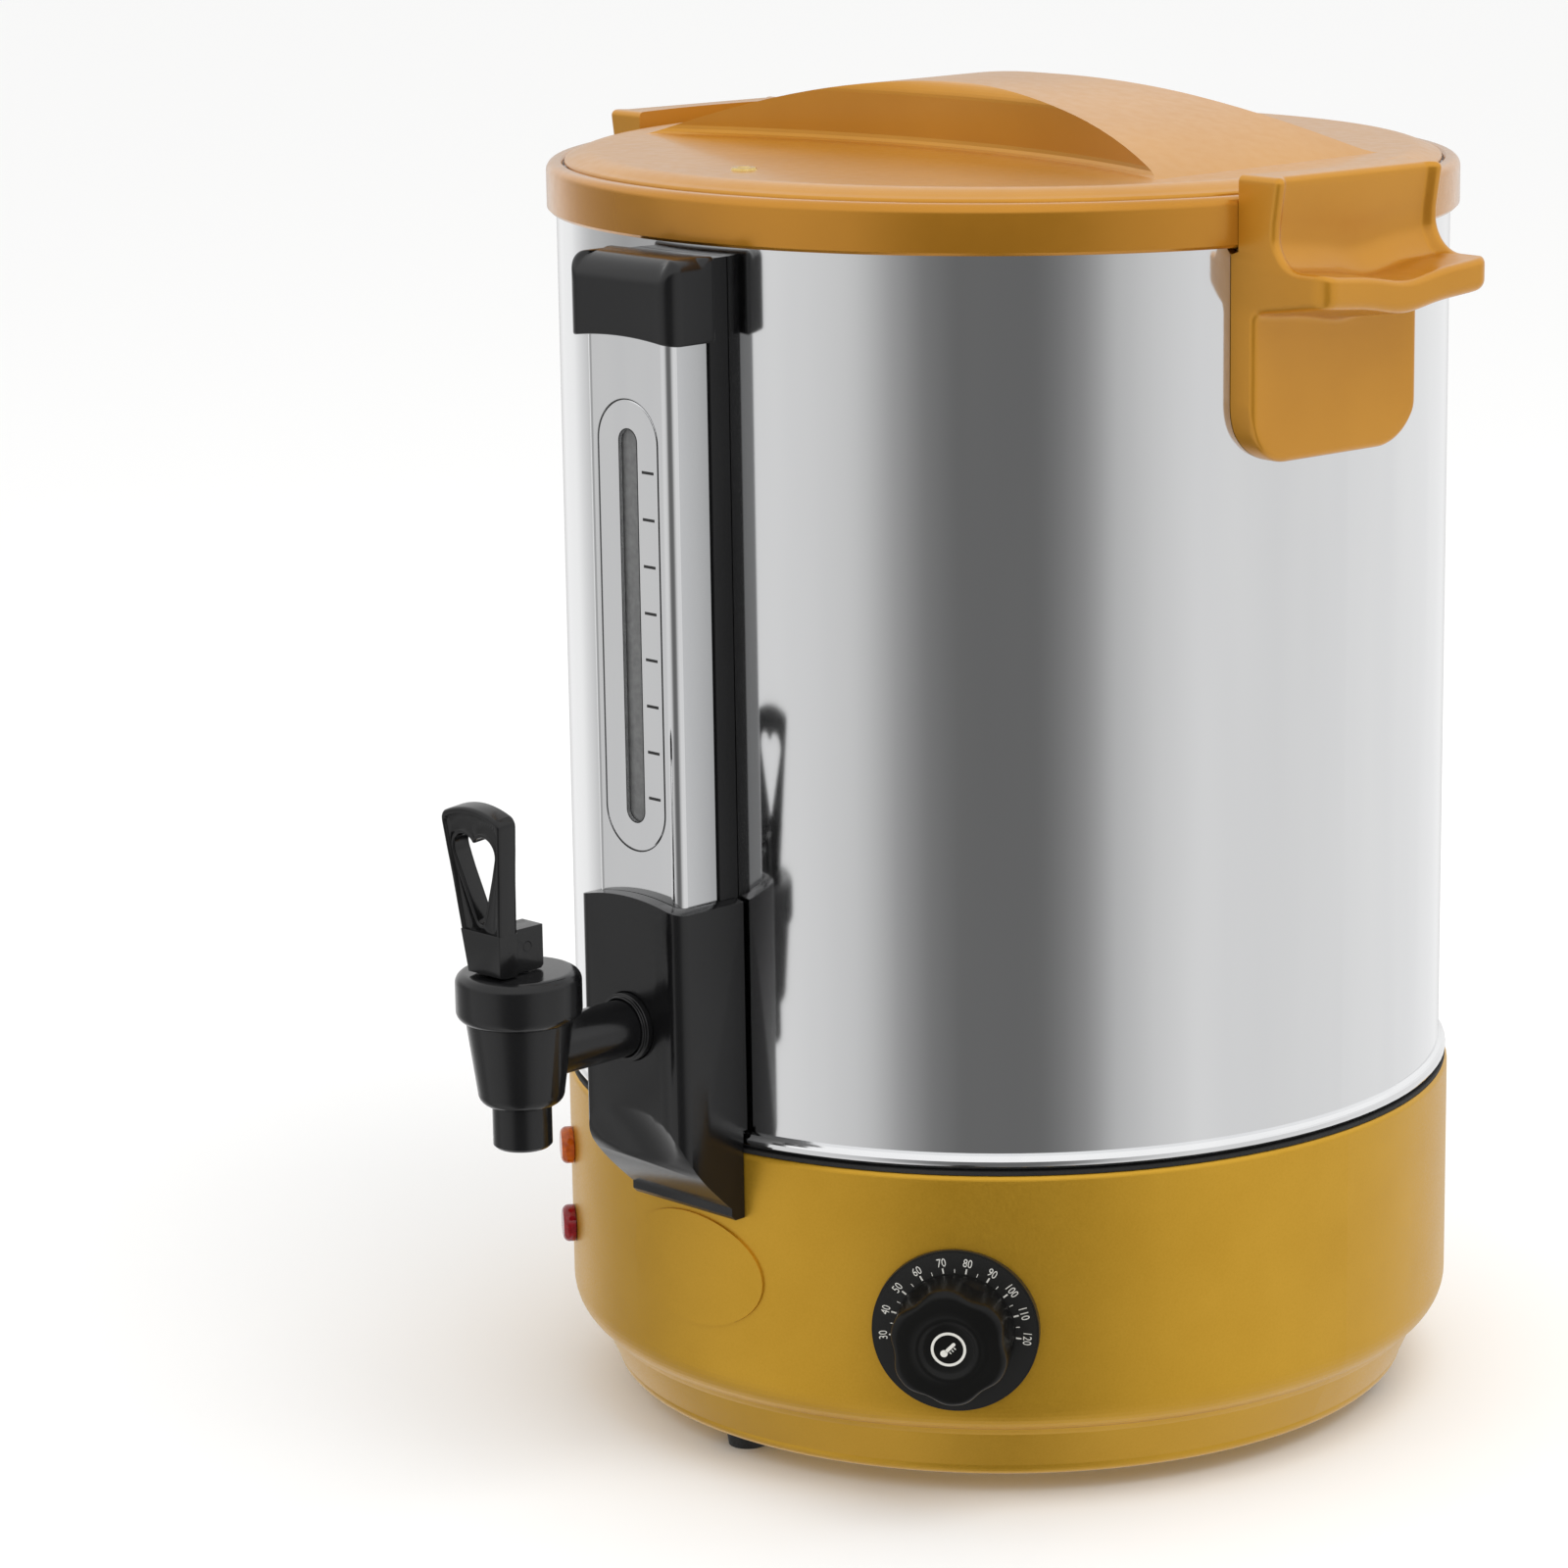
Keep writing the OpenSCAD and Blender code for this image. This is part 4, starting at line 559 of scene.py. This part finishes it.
dialSpec = {
    "angle": 36.5, "height": 61.0, "skirtR": 148.0, "plateTop": 2.0,
    "knobR": 18.8, "knobRear": 2.5, "knobFace": 19.5, "rimRound": 2.6,
    "flutes": 6, "fluteTurn": 23.0, "fluteDepth": 1.7,
    # the sunk centre: radius, height over the face
    "crater": ((13.0, -0.05), (11.4, -0.05), (10.6, 0.25), (9.7, 0.45), (8.9, 0.2), (8.3, -0.5), (7.7, -0.85),
               (4.0, -0.9), (0.02, -0.9)),
    "first": 30, "last": 120, "step": 21.0, "digitHigh": 2.7, "digitSqueeze": 0.78, "digitR": 22.7,
    "tick": (0.5, 1.7), "tickR": 20.0, "thinTick": (0.25, 1.2), "thinTickR": 19.8, "inkLift": 0.03,
}
symbolSpec = {
    "ring": (4.65, 5.5), "bulbR": 1.15, "bulbDown": 2.0, "turn": 45, "sunk": 0.86,
    "stem": ((-0.55, -1.2, 0), (0.55, -1.2, 0), (0.55, 2.4, 0), (0.3, 2.8, 0), (-0.3, 2.8, 0), (-0.55, 2.4, 0)),
    "tick": (0.8, 0.3), "tickOut": 1.2, "tickUp": (-0.4, 0.6, 1.6),
}


def onDial(points):
    d = dialSpec
    return onSkirt(points, d["angle"], d["height"], d["skirtR"])


def makeKnob():
    # a turned profile whose radius sinks at six flutes; the flutes die out towards the axis and the rear rim
    d = dialSpec
    rear, face, big, bend = d["knobRear"], d["knobFace"], d["knobR"], d["rimRound"]
    edge = np.radians(np.linspace(0, 90, 7))
    rim = np.stack((big - bend + bend * np.cos(edge), face - bend + bend * np.sin(edge)), -1)
    crater = np.array(d["crater"]) + (0, face)
    side = np.stack((np.full(9, big), np.linspace(rear + 0.6, face - 3.4, 9)), -1)
    profile = np.concatenate((((0.02, rear), (big - 2, rear), (big - 0.5, rear + 0.1)), side, rim, crater))
    turn = np.linspace(0, 2 * np.pi, 193)[:-1]
    wave = 0.5 + 0.5 * np.cos(d["flutes"] * (turn - math.radians(d["fluteTurn"])))
    flute = d["fluteDepth"] * wave ** 1.6
    share = smoothStep(profile[:, 1], rear + 1.5, rear + 4.5) * np.clip(profile[:, 0] / big, 0, 1) ** 6
    radius = profile[:, 0][:, None] - share[:, None] * flute[None]
    rows, cols = radius.shape
    height = np.broadcast_to(profile[:, 1][:, None], radius.shape)
    grid = np.stack((radius * np.sin(turn), radius * np.cos(turn), height), -1)
    faces = quads(rows, cols, closeCols=True) + endCaps(rows, cols)
    piece = addPiece("knob", onDial(grid).reshape(-1, 3), faces, "knob", knobBlack, sharp=45)
    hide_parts("temperature_knob")


def textPoints(words, high, squeeze):
    # the outline of a few digits as a flat mesh, centred, its height in millimetres
    curve = bpy.data.curves.new("digits", "FONT")
    curve.body = words
    curve.align_x, curve.align_y = "CENTER", "CENTER"
    curve.resolution_u = 3
    holder = bpy.data.objects.new("digits", curve)
    scene.collection.objects.link(holder)
    bpy.context.view_layer.update()
    mesh = bpy.data.meshes.new_from_object(holder.evaluated_get(bpy.context.evaluated_depsgraph_get()))
    flat = np.zeros(len(mesh.vertices) * 3)
    mesh.vertices.foreach_get("co", flat)
    flat = flat.reshape(-1, 3)
    faces = [list(p.vertices) for p in mesh.polygons]
    bpy.data.objects.remove(holder)
    bpy.data.curves.remove(curve)
    bpy.data.meshes.remove(mesh)
    flat[:, :2] -= (flat[:, :2].min(0) + flat[:, :2].max(0)) / 2
    scale = high / (flat[:, 1].max() - flat[:, 1].min())
    return flat * (scale * squeeze, scale, 0), faces


def turnedOut(flat, radius, degrees):
    # moves a flat mark out to a radius and turns it clockwise, its top outwards
    a = math.radians(degrees)
    x, y = flat[:, 0], flat[:, 1] + radius
    return np.stack((x * math.cos(a) + y * math.sin(a), -x * math.sin(a) + y * math.cos(a), flat[:, 2]), -1)


def barMark(width, length):
    return np.array(((-width / 2, -length / 2, 0), (width / 2, -length / 2, 0), (width / 2, length / 2, 0),
                     (-width / 2, length / 2, 0))), [[0, 1, 2, 3]]


def gatherMarks(marks):
    points, faces, count = [], [], 0
    for flat, polys in marks:
        points.append(flat)
        faces += [[i + count for i in p] for p in polys]
        count += len(flat)
    return np.concatenate(points), faces


def makeDialMarks():
    # printed scale: digits with their tops outwards, a thick tick at each ten and a thin one between
    d = dialSpec
    marks = []
    numbers = list(range(d["first"], d["last"] + 1, 10))
    for i, number in enumerate(numbers):
        at = (i - (len(numbers) - 1) / 2) * d["step"]
        flat, polys = textPoints(str(number), d["digitHigh"], d["digitSqueeze"])
        marks.append((turnedOut(flat, d["digitR"], at), polys))
        flat, polys = barMark(*d["tick"])
        marks.append((turnedOut(flat, d["tickR"], at), polys))
        if number < d["last"]:
            flat, polys = barMark(*d["thinTick"])
            marks.append((turnedOut(flat, d["thinTickR"], at + d["step"] / 2), polys))
    flat, faces = gatherMarks(marks)
    flat[:, 2] = d["plateTop"] + d["inkLift"]
    addPiece("dialMarks", onDial(flat), faces, "urn", paleMark, smooth=False)


def makeKnobMark():
    # a thin ring with a thermometer across it, drawn on the knob's sunk centre
    m = symbolSpec
    sides = 64
    turn = np.linspace(0, 2 * np.pi, sides + 1)[:-1]
    ring = np.concatenate([np.stack((r * np.sin(turn), r * np.cos(turn), 0 * turn), -1) for r in m["ring"]])
    bulb = np.stack((m["bulbR"] * np.sin(turn), m["bulbR"] * np.cos(turn) - m["bulbDown"], 0 * turn), -1)
    stem = np.array(m["stem"])
    marks = [(ring, quads(2, sides, closeCols=True)), (turnedOut(bulb, 0, m["turn"]), [list(range(sides))]),
             (turnedOut(stem, 0, m["turn"]), [list(range(len(stem)))])]
    for up in m["tickUp"]:
        flat, polys = barMark(*m["tick"])
        marks.append((turnedOut(flat + (m["tickOut"], up, 0), 0, m["turn"]), polys))
    flat, faces = gatherMarks(marks)
    flat[:, 2] = dialSpec["knobFace"] - m["sunk"]
    addPiece("knobMark", onDial(flat), faces, "knob", paleMark, smooth=False)


makeKnob()
makeDialMarks()
makeKnobMark()
print("knob and dial marks made")


gaugeSpec = {
    "front": 168.0, "left": 6.0, "right": 11.2, "low": 227.0, "high": 328.5, "count": 8, "thick": 0.9, "inkLift": 0.03,
    # the slot and groove line widths are widths of painted shade bands
    "slotHalf": 3.8, "slotLow": 218.5, "slotHigh": 341.0, "slotShadeLine": 0.4,
    "grooveHalf": 13.3, "groovePast": 9.5, "grooveShadeLine": 0.45, "grooveDeep": 0.3,
    "tubeY": 160.5, "tubeR": 5.0, "flatWide": 2.6, "flatDeep": 1.0, "flatEnds": (24, 8), "flatPower": 3,
}


def stadiumLine(half, low, high, thick, y):
    # a thin band along an upright oval with straight sides: two outlines a band apart
    sides = 128
    t = np.linspace(0, 2 * np.pi, sides + 1)[:-1]
    lift = np.where(np.sin(t) >= 0, high - half, low + half)
    loops = [np.stack((r * np.cos(t), np.full_like(t, y), lift + r * np.sin(t)), -1) for r in (half, half - thick)]
    return np.concatenate(loops), quads(2, sides, closeCols=True)


def makeGaugeMarks():
    # short printed level lines to the right of the slot, a painted shade band at the foot of the oval groove and a
    # painted shade band round the slot's edge
    g = gaugeSpec
    marks = []
    for up in np.linspace(g["low"], g["high"], g["count"]):
        flat, polys = barMark(g["right"] - g["left"], g["thick"])
        middle = ((g["left"] + g["right"]) / 2, -g["front"] - g["inkLift"], up)
        marks.append((flat[:, (0, 2, 1)] + middle, polys))
    # painted shade: a dark band on the groove's floor and another round the slot's edge, where the edges' shade falls
    past, line = g["groovePast"], g["slotShadeLine"]
    marks.append(stadiumLine(g["grooveHalf"], g["slotLow"] - past, g["slotHigh"] + past, g["grooveShadeLine"],
                             -g["front"] + g["grooveDeep"]))
    marks.append(stadiumLine(g["slotHalf"] + line, g["slotLow"] - line, g["slotHigh"] + line, line, -g["front"] - 0.02))
    points, faces = gatherMarks(marks)
    addPiece("gaugeInkAndShade", points, faces, "urn", inkAndShadeMark, smooth=False)


def makeSightTube():
    # round at both ends, drawn out to a flat-fronted oval where it fills the slot: the section is a superellipse
    # whose half widths and power grow over the first stretch from each end
    g = gaugeSpec
    low, high = (v[2] * 1000 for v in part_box("sight_tube"))
    rows, cols = 81, 64
    z = np.linspace(low, high, rows)
    far, near = g["flatEnds"]
    flat = smoothStep(z, g["slotLow"] - far, g["slotLow"] - near)
    flat = flat * (1 - smoothStep(z, g["slotHigh"] + near, g["slotHigh"] + far))
    turn = np.linspace(0, 2 * np.pi, cols + 1)[:-1]
    across, ahead = np.cos(turn), np.sin(turn)
    power = (2 / (2 + g["flatPower"] * flat))[:, None]
    x = (g["tubeR"] + g["flatWide"] * flat)[:, None] * np.sign(across) * np.abs(across) ** power
    y = (g["tubeR"] + g["flatDeep"] * flat)[:, None] * np.sign(ahead) * np.abs(ahead) ** power - g["tubeY"]
    grid = np.stack((x, y, np.broadcast_to(z[:, None], x.shape)), -1)
    faces = quads(rows, cols, closeCols=True) + endCaps(rows, cols)
    piece = addPiece("sightTube", grid.reshape(-1, 3), faces, "urn", finishes["sight_glass"], sharp=45)
    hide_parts("sight_tube")


capSpec = {
    "low": 368.0, "high": 394.0, "half": 23.1, "front": 171.4, "rear": 151.7, "corner": 5.5, "rearCorner": 1.6,
    "dome": 9.0, "sideDome": 4.2, "rearDome": 1.3, "arch": 1.9, "wall": 3.0, "lowEdge": 0.8, "roof": 8.0,
    "rearGrow": 8.0, "rearBlend": (1.5, 12),     # how the dome grows from the rear forwards
}


def roundedPlan(half, front, rear, corner, rearCorner, arcSteps=12, runSteps=16):
    # a closed outline seen from above, anticlockwise: corner arcs joined by straight runs, with its outward normals
    t = np.linspace(0, 90, arcSteps + 1)
    spots = ((half - rearCorner, -rear - rearCorner, rearCorner, 0),
             (-half + rearCorner, -rear - rearCorner, rearCorner, 90),
             (-half + corner, -front + corner, corner, 180), (half - corner, -front + corner, corner, 270))
    arcs, outs = [], []
    for cx, cy, r, start in spots:
        a = np.radians(t + start)
        out = np.stack((np.cos(a), np.sin(a)), -1)
        arcs.append(np.array((cx, cy)) + r * out)
        outs.append(out)
    run = np.linspace(0, 1, runSteps + 2)[1:-1, None]
    points, normals = [], []
    for i in range(4):
        points += [arcs[i], arcs[i][-1] * (1 - run) + arcs[(i + 1) % 4][0] * run]
        normals += [outs[i], np.repeat(outs[i][-1:], runSteps, 0)]
    return np.concatenate(points), np.concatenate(normals)


def makeGaugeCap():
    # rings of one plan outline: up the inside, round the arched lower edge, up the outside, over a dome whose
    # radius is large at the front, smaller at the sides and least at the rear
    c = capSpec
    plan, out = roundedPlan(c["half"], c["front"], c["rear"], c["corner"], c["rearCorner"])
    ahead, behind = np.clip(-out[:, 1], 0, 1) ** 4, np.clip(out[:, 1], 0, 1) ** 2
    dome = c["sideDome"] + (c["dome"] - c["sideDome"]) * ahead
    dome = np.minimum(dome, c["rearDome"] + c["rearGrow"] * smoothStep(-plan[:, 1] - c["rear"], *c["rearBlend"]))
    low = c["low"] + c["arch"] * (1 - (plan[:, 0] / c["half"]) ** 2)
    wall = c["wall"] - 2 * behind
    edge = np.radians(np.linspace(0, 90, 5))
    over = np.radians(np.linspace(0, 90, 13))
    bend = c["lowEdge"]
    rings = [(wall, np.full_like(low, c["high"] - c["roof"])), (wall, low + bend)]
    rings += [(bend - bend * np.sin(a) + 0 * low, low + bend - bend * np.cos(a)) for a in edge]
    rings += [(0 * low, low + (c["high"] - dome - low) * f) for f in (0.3, 0.6, 0.9)]
    rings += [(dome * (1 - np.cos(a)), c["high"] - dome + dome * np.sin(a)) for a in over]
    inset, z = (np.array(v) for v in zip(*rings))
    flat = plan[None] - out[None] * inset[..., None]
    grid = np.concatenate((flat, z[..., None]), -1)
    rows, cols = inset.shape
    faces = quads(rows, cols, closeCols=True) + endCaps(rows, cols)
    piece = addPiece("gaugeCap", grid.reshape(-1, 3), faces, "urn", finishes["black_plastic"],
                     sharp=50)
    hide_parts("gauge_cap")


makeSightTube()
makeGaugeCap()
makeGaugeMarks()
print("gauge made")


leverSpec = {
    "pinY": 218.0, "pinZ": 189.3, "drop": 8.0, "back": 6.1, "lean": 5.0, "thick": 7.4, "low": 10.0, "cut": 6.4,
    "steps": 480, "fullWidth": 4.4,                 # where edge and hole are closer, the section narrows
    "knurl": 0.28, "knurlStep": 1.25, "knurlFrom": 51,
    "footEdge": ((0, 0), (7.2, 0), (8.2, 1)),       # over low
    # arcs of the right half: centre to the right and up, radius, from and to degrees, points
    "shoulder": (10, 49.4, 3, -7, 62, 12), "crown": (0, 25.5, 28.9, 67.5, 90, 14),
    "holePoint": (0, 19.4, 1.8, -90, -20, 8), "holeLobe": (4.2, 40.4, 5.0, -20, 147, 40),
}


def evenly(right, n):
    # a right half outline and its mirror image, as n points at equal steps round the whole
    whole = np.vstack((right, right[-2:0:-1] * (-1, 1), right[:1]))
    along = np.concatenate(((0,), np.cumsum(np.linalg.norm(np.diff(whole, axis=0), axis=1))))
    at = np.linspace(0, along[-1], n + 1)[:-1]
    return np.stack((np.interp(at, along, whole[:, 0]), np.interp(at, along, whole[:, 1])), -1), at


def makeLeverBlade():
    # a section carried round between two outlines, the blade's edge and its heart-shaped hole: a raised rim stands
    # along each, the face between is sunk, and the rim under the crown is knurled
    v = leverSpec
    n, t = v["steps"], v["thick"]
    foot = np.array(v["footEdge"]) + (0, v["low"])
    edge, at = evenly(np.concatenate((foot, arcPoints(*v["shoulder"]), arcPoints(*v["crown"]))), n)
    hole = evenly(np.concatenate((arcPoints(*v["holePoint"]), arcPoints(*v["holeLobe"]))), n)[0]
    gap = np.linalg.norm(edge - hole, axis=1, keepdims=True)
    across, fit = (edge - hole) / gap, np.minimum(1, gap / v["fullWidth"])
    wave = v["knurl"] * np.sin(2 * np.pi * at / v["knurlStep"])
    knurl = np.where(edge[:, 1] > v["knurlFrom"], wave, 0)[:, None]
    # (measured from the edge, millimetres in from it, depth, share of the knurl)
    section = ((0, 0, 1.2, 0), (0, 0, 3.5, 0), (0, 0, t - 1.5, 0), (0, 0.1, t - 1.0, 0), (0, 0.4, t - 0.7, 0),
               (0, 0.9, t - 0.6, 0), (0, 1.3, t - 0.7, 0), (0, 1.6, t - 1.0, 0), (1, 2.5, t - 1.0, 1),
               (1, 2.2, t - 0.8, 1), (1, 1.9, t - 0.3, 0.4), (1, 1.6, t - 0.05, 0), (1, 1.2, t, 0),
               (1, 0.7, t - 0.06, 0), (1, 0.3, t - 0.3, 0), (1, 0.06, t - 0.7, 0), (1, 0, t - 1.2, 0), (1, 0, 3.5, 0),
               (1, 0, 1.2, 0), (1, 0.1, 0.7, 0), (1, 0.35, 0.35, 0), (1, 0.7, 0.1, 0), (1, 1.2, 0, 0), (0, 1.2, 0, 0),
               (0, 0.7, 0.1, 0), (0, 0.35, 0.35, 0), (0, 0.1, 0.7, 0))
    columns, depths = [], []
    for fromEdge, inset, depth, share in section:
        columns.append(edge - across * (inset + share * knurl) * fit if fromEdge else hole + across * inset * fit)
        depths.append(depth)
    flat = np.stack(columns, 1)
    depth = np.broadcast_to(np.array(depths), flat.shape[:2])
    c, sn = math.cos(math.radians(v["lean"])), math.sin(math.radians(v["lean"]))
    y = -depth * c - flat[..., 1] * sn - v["back"] - v["pinY"]
    z = -depth * sn + flat[..., 1] * c - v["drop"] + v["pinZ"]
    grid = np.stack((flat[..., 0], y, z), -1)
    piece = addPiece("leverBlade", grid.reshape(-1, 3), quads(n, len(section), True, True), "lever",
                     finishes["black_plastic"], sharp=60)
    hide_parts("tap_lever")


makeLeverBlade()
print("lever blade made")


bevelSpec = {"angle": 35, "segments": 3, "sharp": 60}
bonnetSpec = {"axisY": -176.2, "rimR": 18.0, "round": 2.0, "segments": 4}     # the bonnet's rim lies outside rimR


def copyNode(node, name, reshape=None):
    # a piece that stands for a solid: a copy whose loose triangles are merged, then reshaped where that is asked for
    mesh = nodes[node].data.copy()
    mesh.name = name
    whole = bmesh.new()
    whole.from_mesh(mesh)
    bmesh.ops.remove_doubles(whole, verts=whole.verts, dist=2e-6)
    if reshape:
        reshape(whole)
    bmesh.ops.recalc_face_normals(whole, faces=whole.faces)
    whole.to_mesh(mesh)
    whole.free()
    if mesh.has_custom_normals:
        mesh.normals_split_custom_set([(0, 0, 0)] * len(mesh.loops))
    mesh.shade_smooth()
    mesh.set_sharp_from_angle(angle=math.radians(bevelSpec["sharp"]))
    piece = bpy.data.objects.new(name, mesh)
    scene.collection.objects.link(piece)
    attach(piece, nodes[node]["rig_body"])
    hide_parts(node)
    return piece


def softenNode(node, name, width, segments=bevelSpec["segments"], cutAbove=None, pick=None):
    # a copied solid with whole faces, its edges, or only the outer ones that pick says, broken by a small bevel
    limit = math.radians(bevelSpec["angle"])

    def reshape(whole):
        bmesh.ops.dissolve_degenerate(whole, edges=whole.edges, dist=2e-6)
        bmesh.ops.dissolve_limit(whole, angle_limit=math.radians(0.5), verts=whole.verts, edges=whole.edges)
        if cutAbove:
            bmesh.ops.bisect_plane(whole, geom=whole.verts[:] + whole.edges[:] + whole.faces[:],
                                   plane_co=(0, 0, cutAbove), plane_no=(0, 0, 1), clear_outer=True)
            bmesh.ops.holes_fill(whole, edges=[e for e in whole.edges if e.is_boundary])
        if pick:
            weight = whole.edges.layers.float.new("bevel_weight_edge")
            for edge in whole.edges:
                outer = edge.is_convex and edge.calc_face_angle(0) > limit
                edge[weight] = float(outer and all(pick(v.co * 1000) for v in edge.verts))

    soft = copyNode(node, name, reshape).modifiers.new("soften", "BEVEL")
    soft.width = width * 0.001
    soft.segments = segments
    soft.limit_method = "WEIGHT" if pick else "ANGLE"
    soft.use_clamp_overlap = not pick
    soft.angle_limit = limit
    soft.miter_outer = "MITER_ARC"


def onBonnetRim(spot):
    return math.hypot(spot.x, spot.y - bonnetSpec["axisY"]) > bonnetSpec["rimR"]


# bevels in millimetres
softenNode("rim_collar", "rimCollar", 0.9)
softenNode("tap_cover", "tapCover", 2.0)
softenNode("shank_ring", "shankRing", 0.8)
softenNode("tap_bonnet", "tapBonnet", bonnetSpec["round"], bonnetSpec["segments"], pick=onBonnetRim)
softenNode("tap_lever", "leverFoot", 0.7, cutAbove=(leverSpec["pinZ"] + leverSpec["cut"]) * 0.001)
print("moulded edges softened")


def makeSpring():
    # the closing spring: a merged copy of the solid with a mesh of its own
    spring = copyNode("tap_spring", "closingSpring")
    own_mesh(spring)


makeSpring()
print("closing spring made")
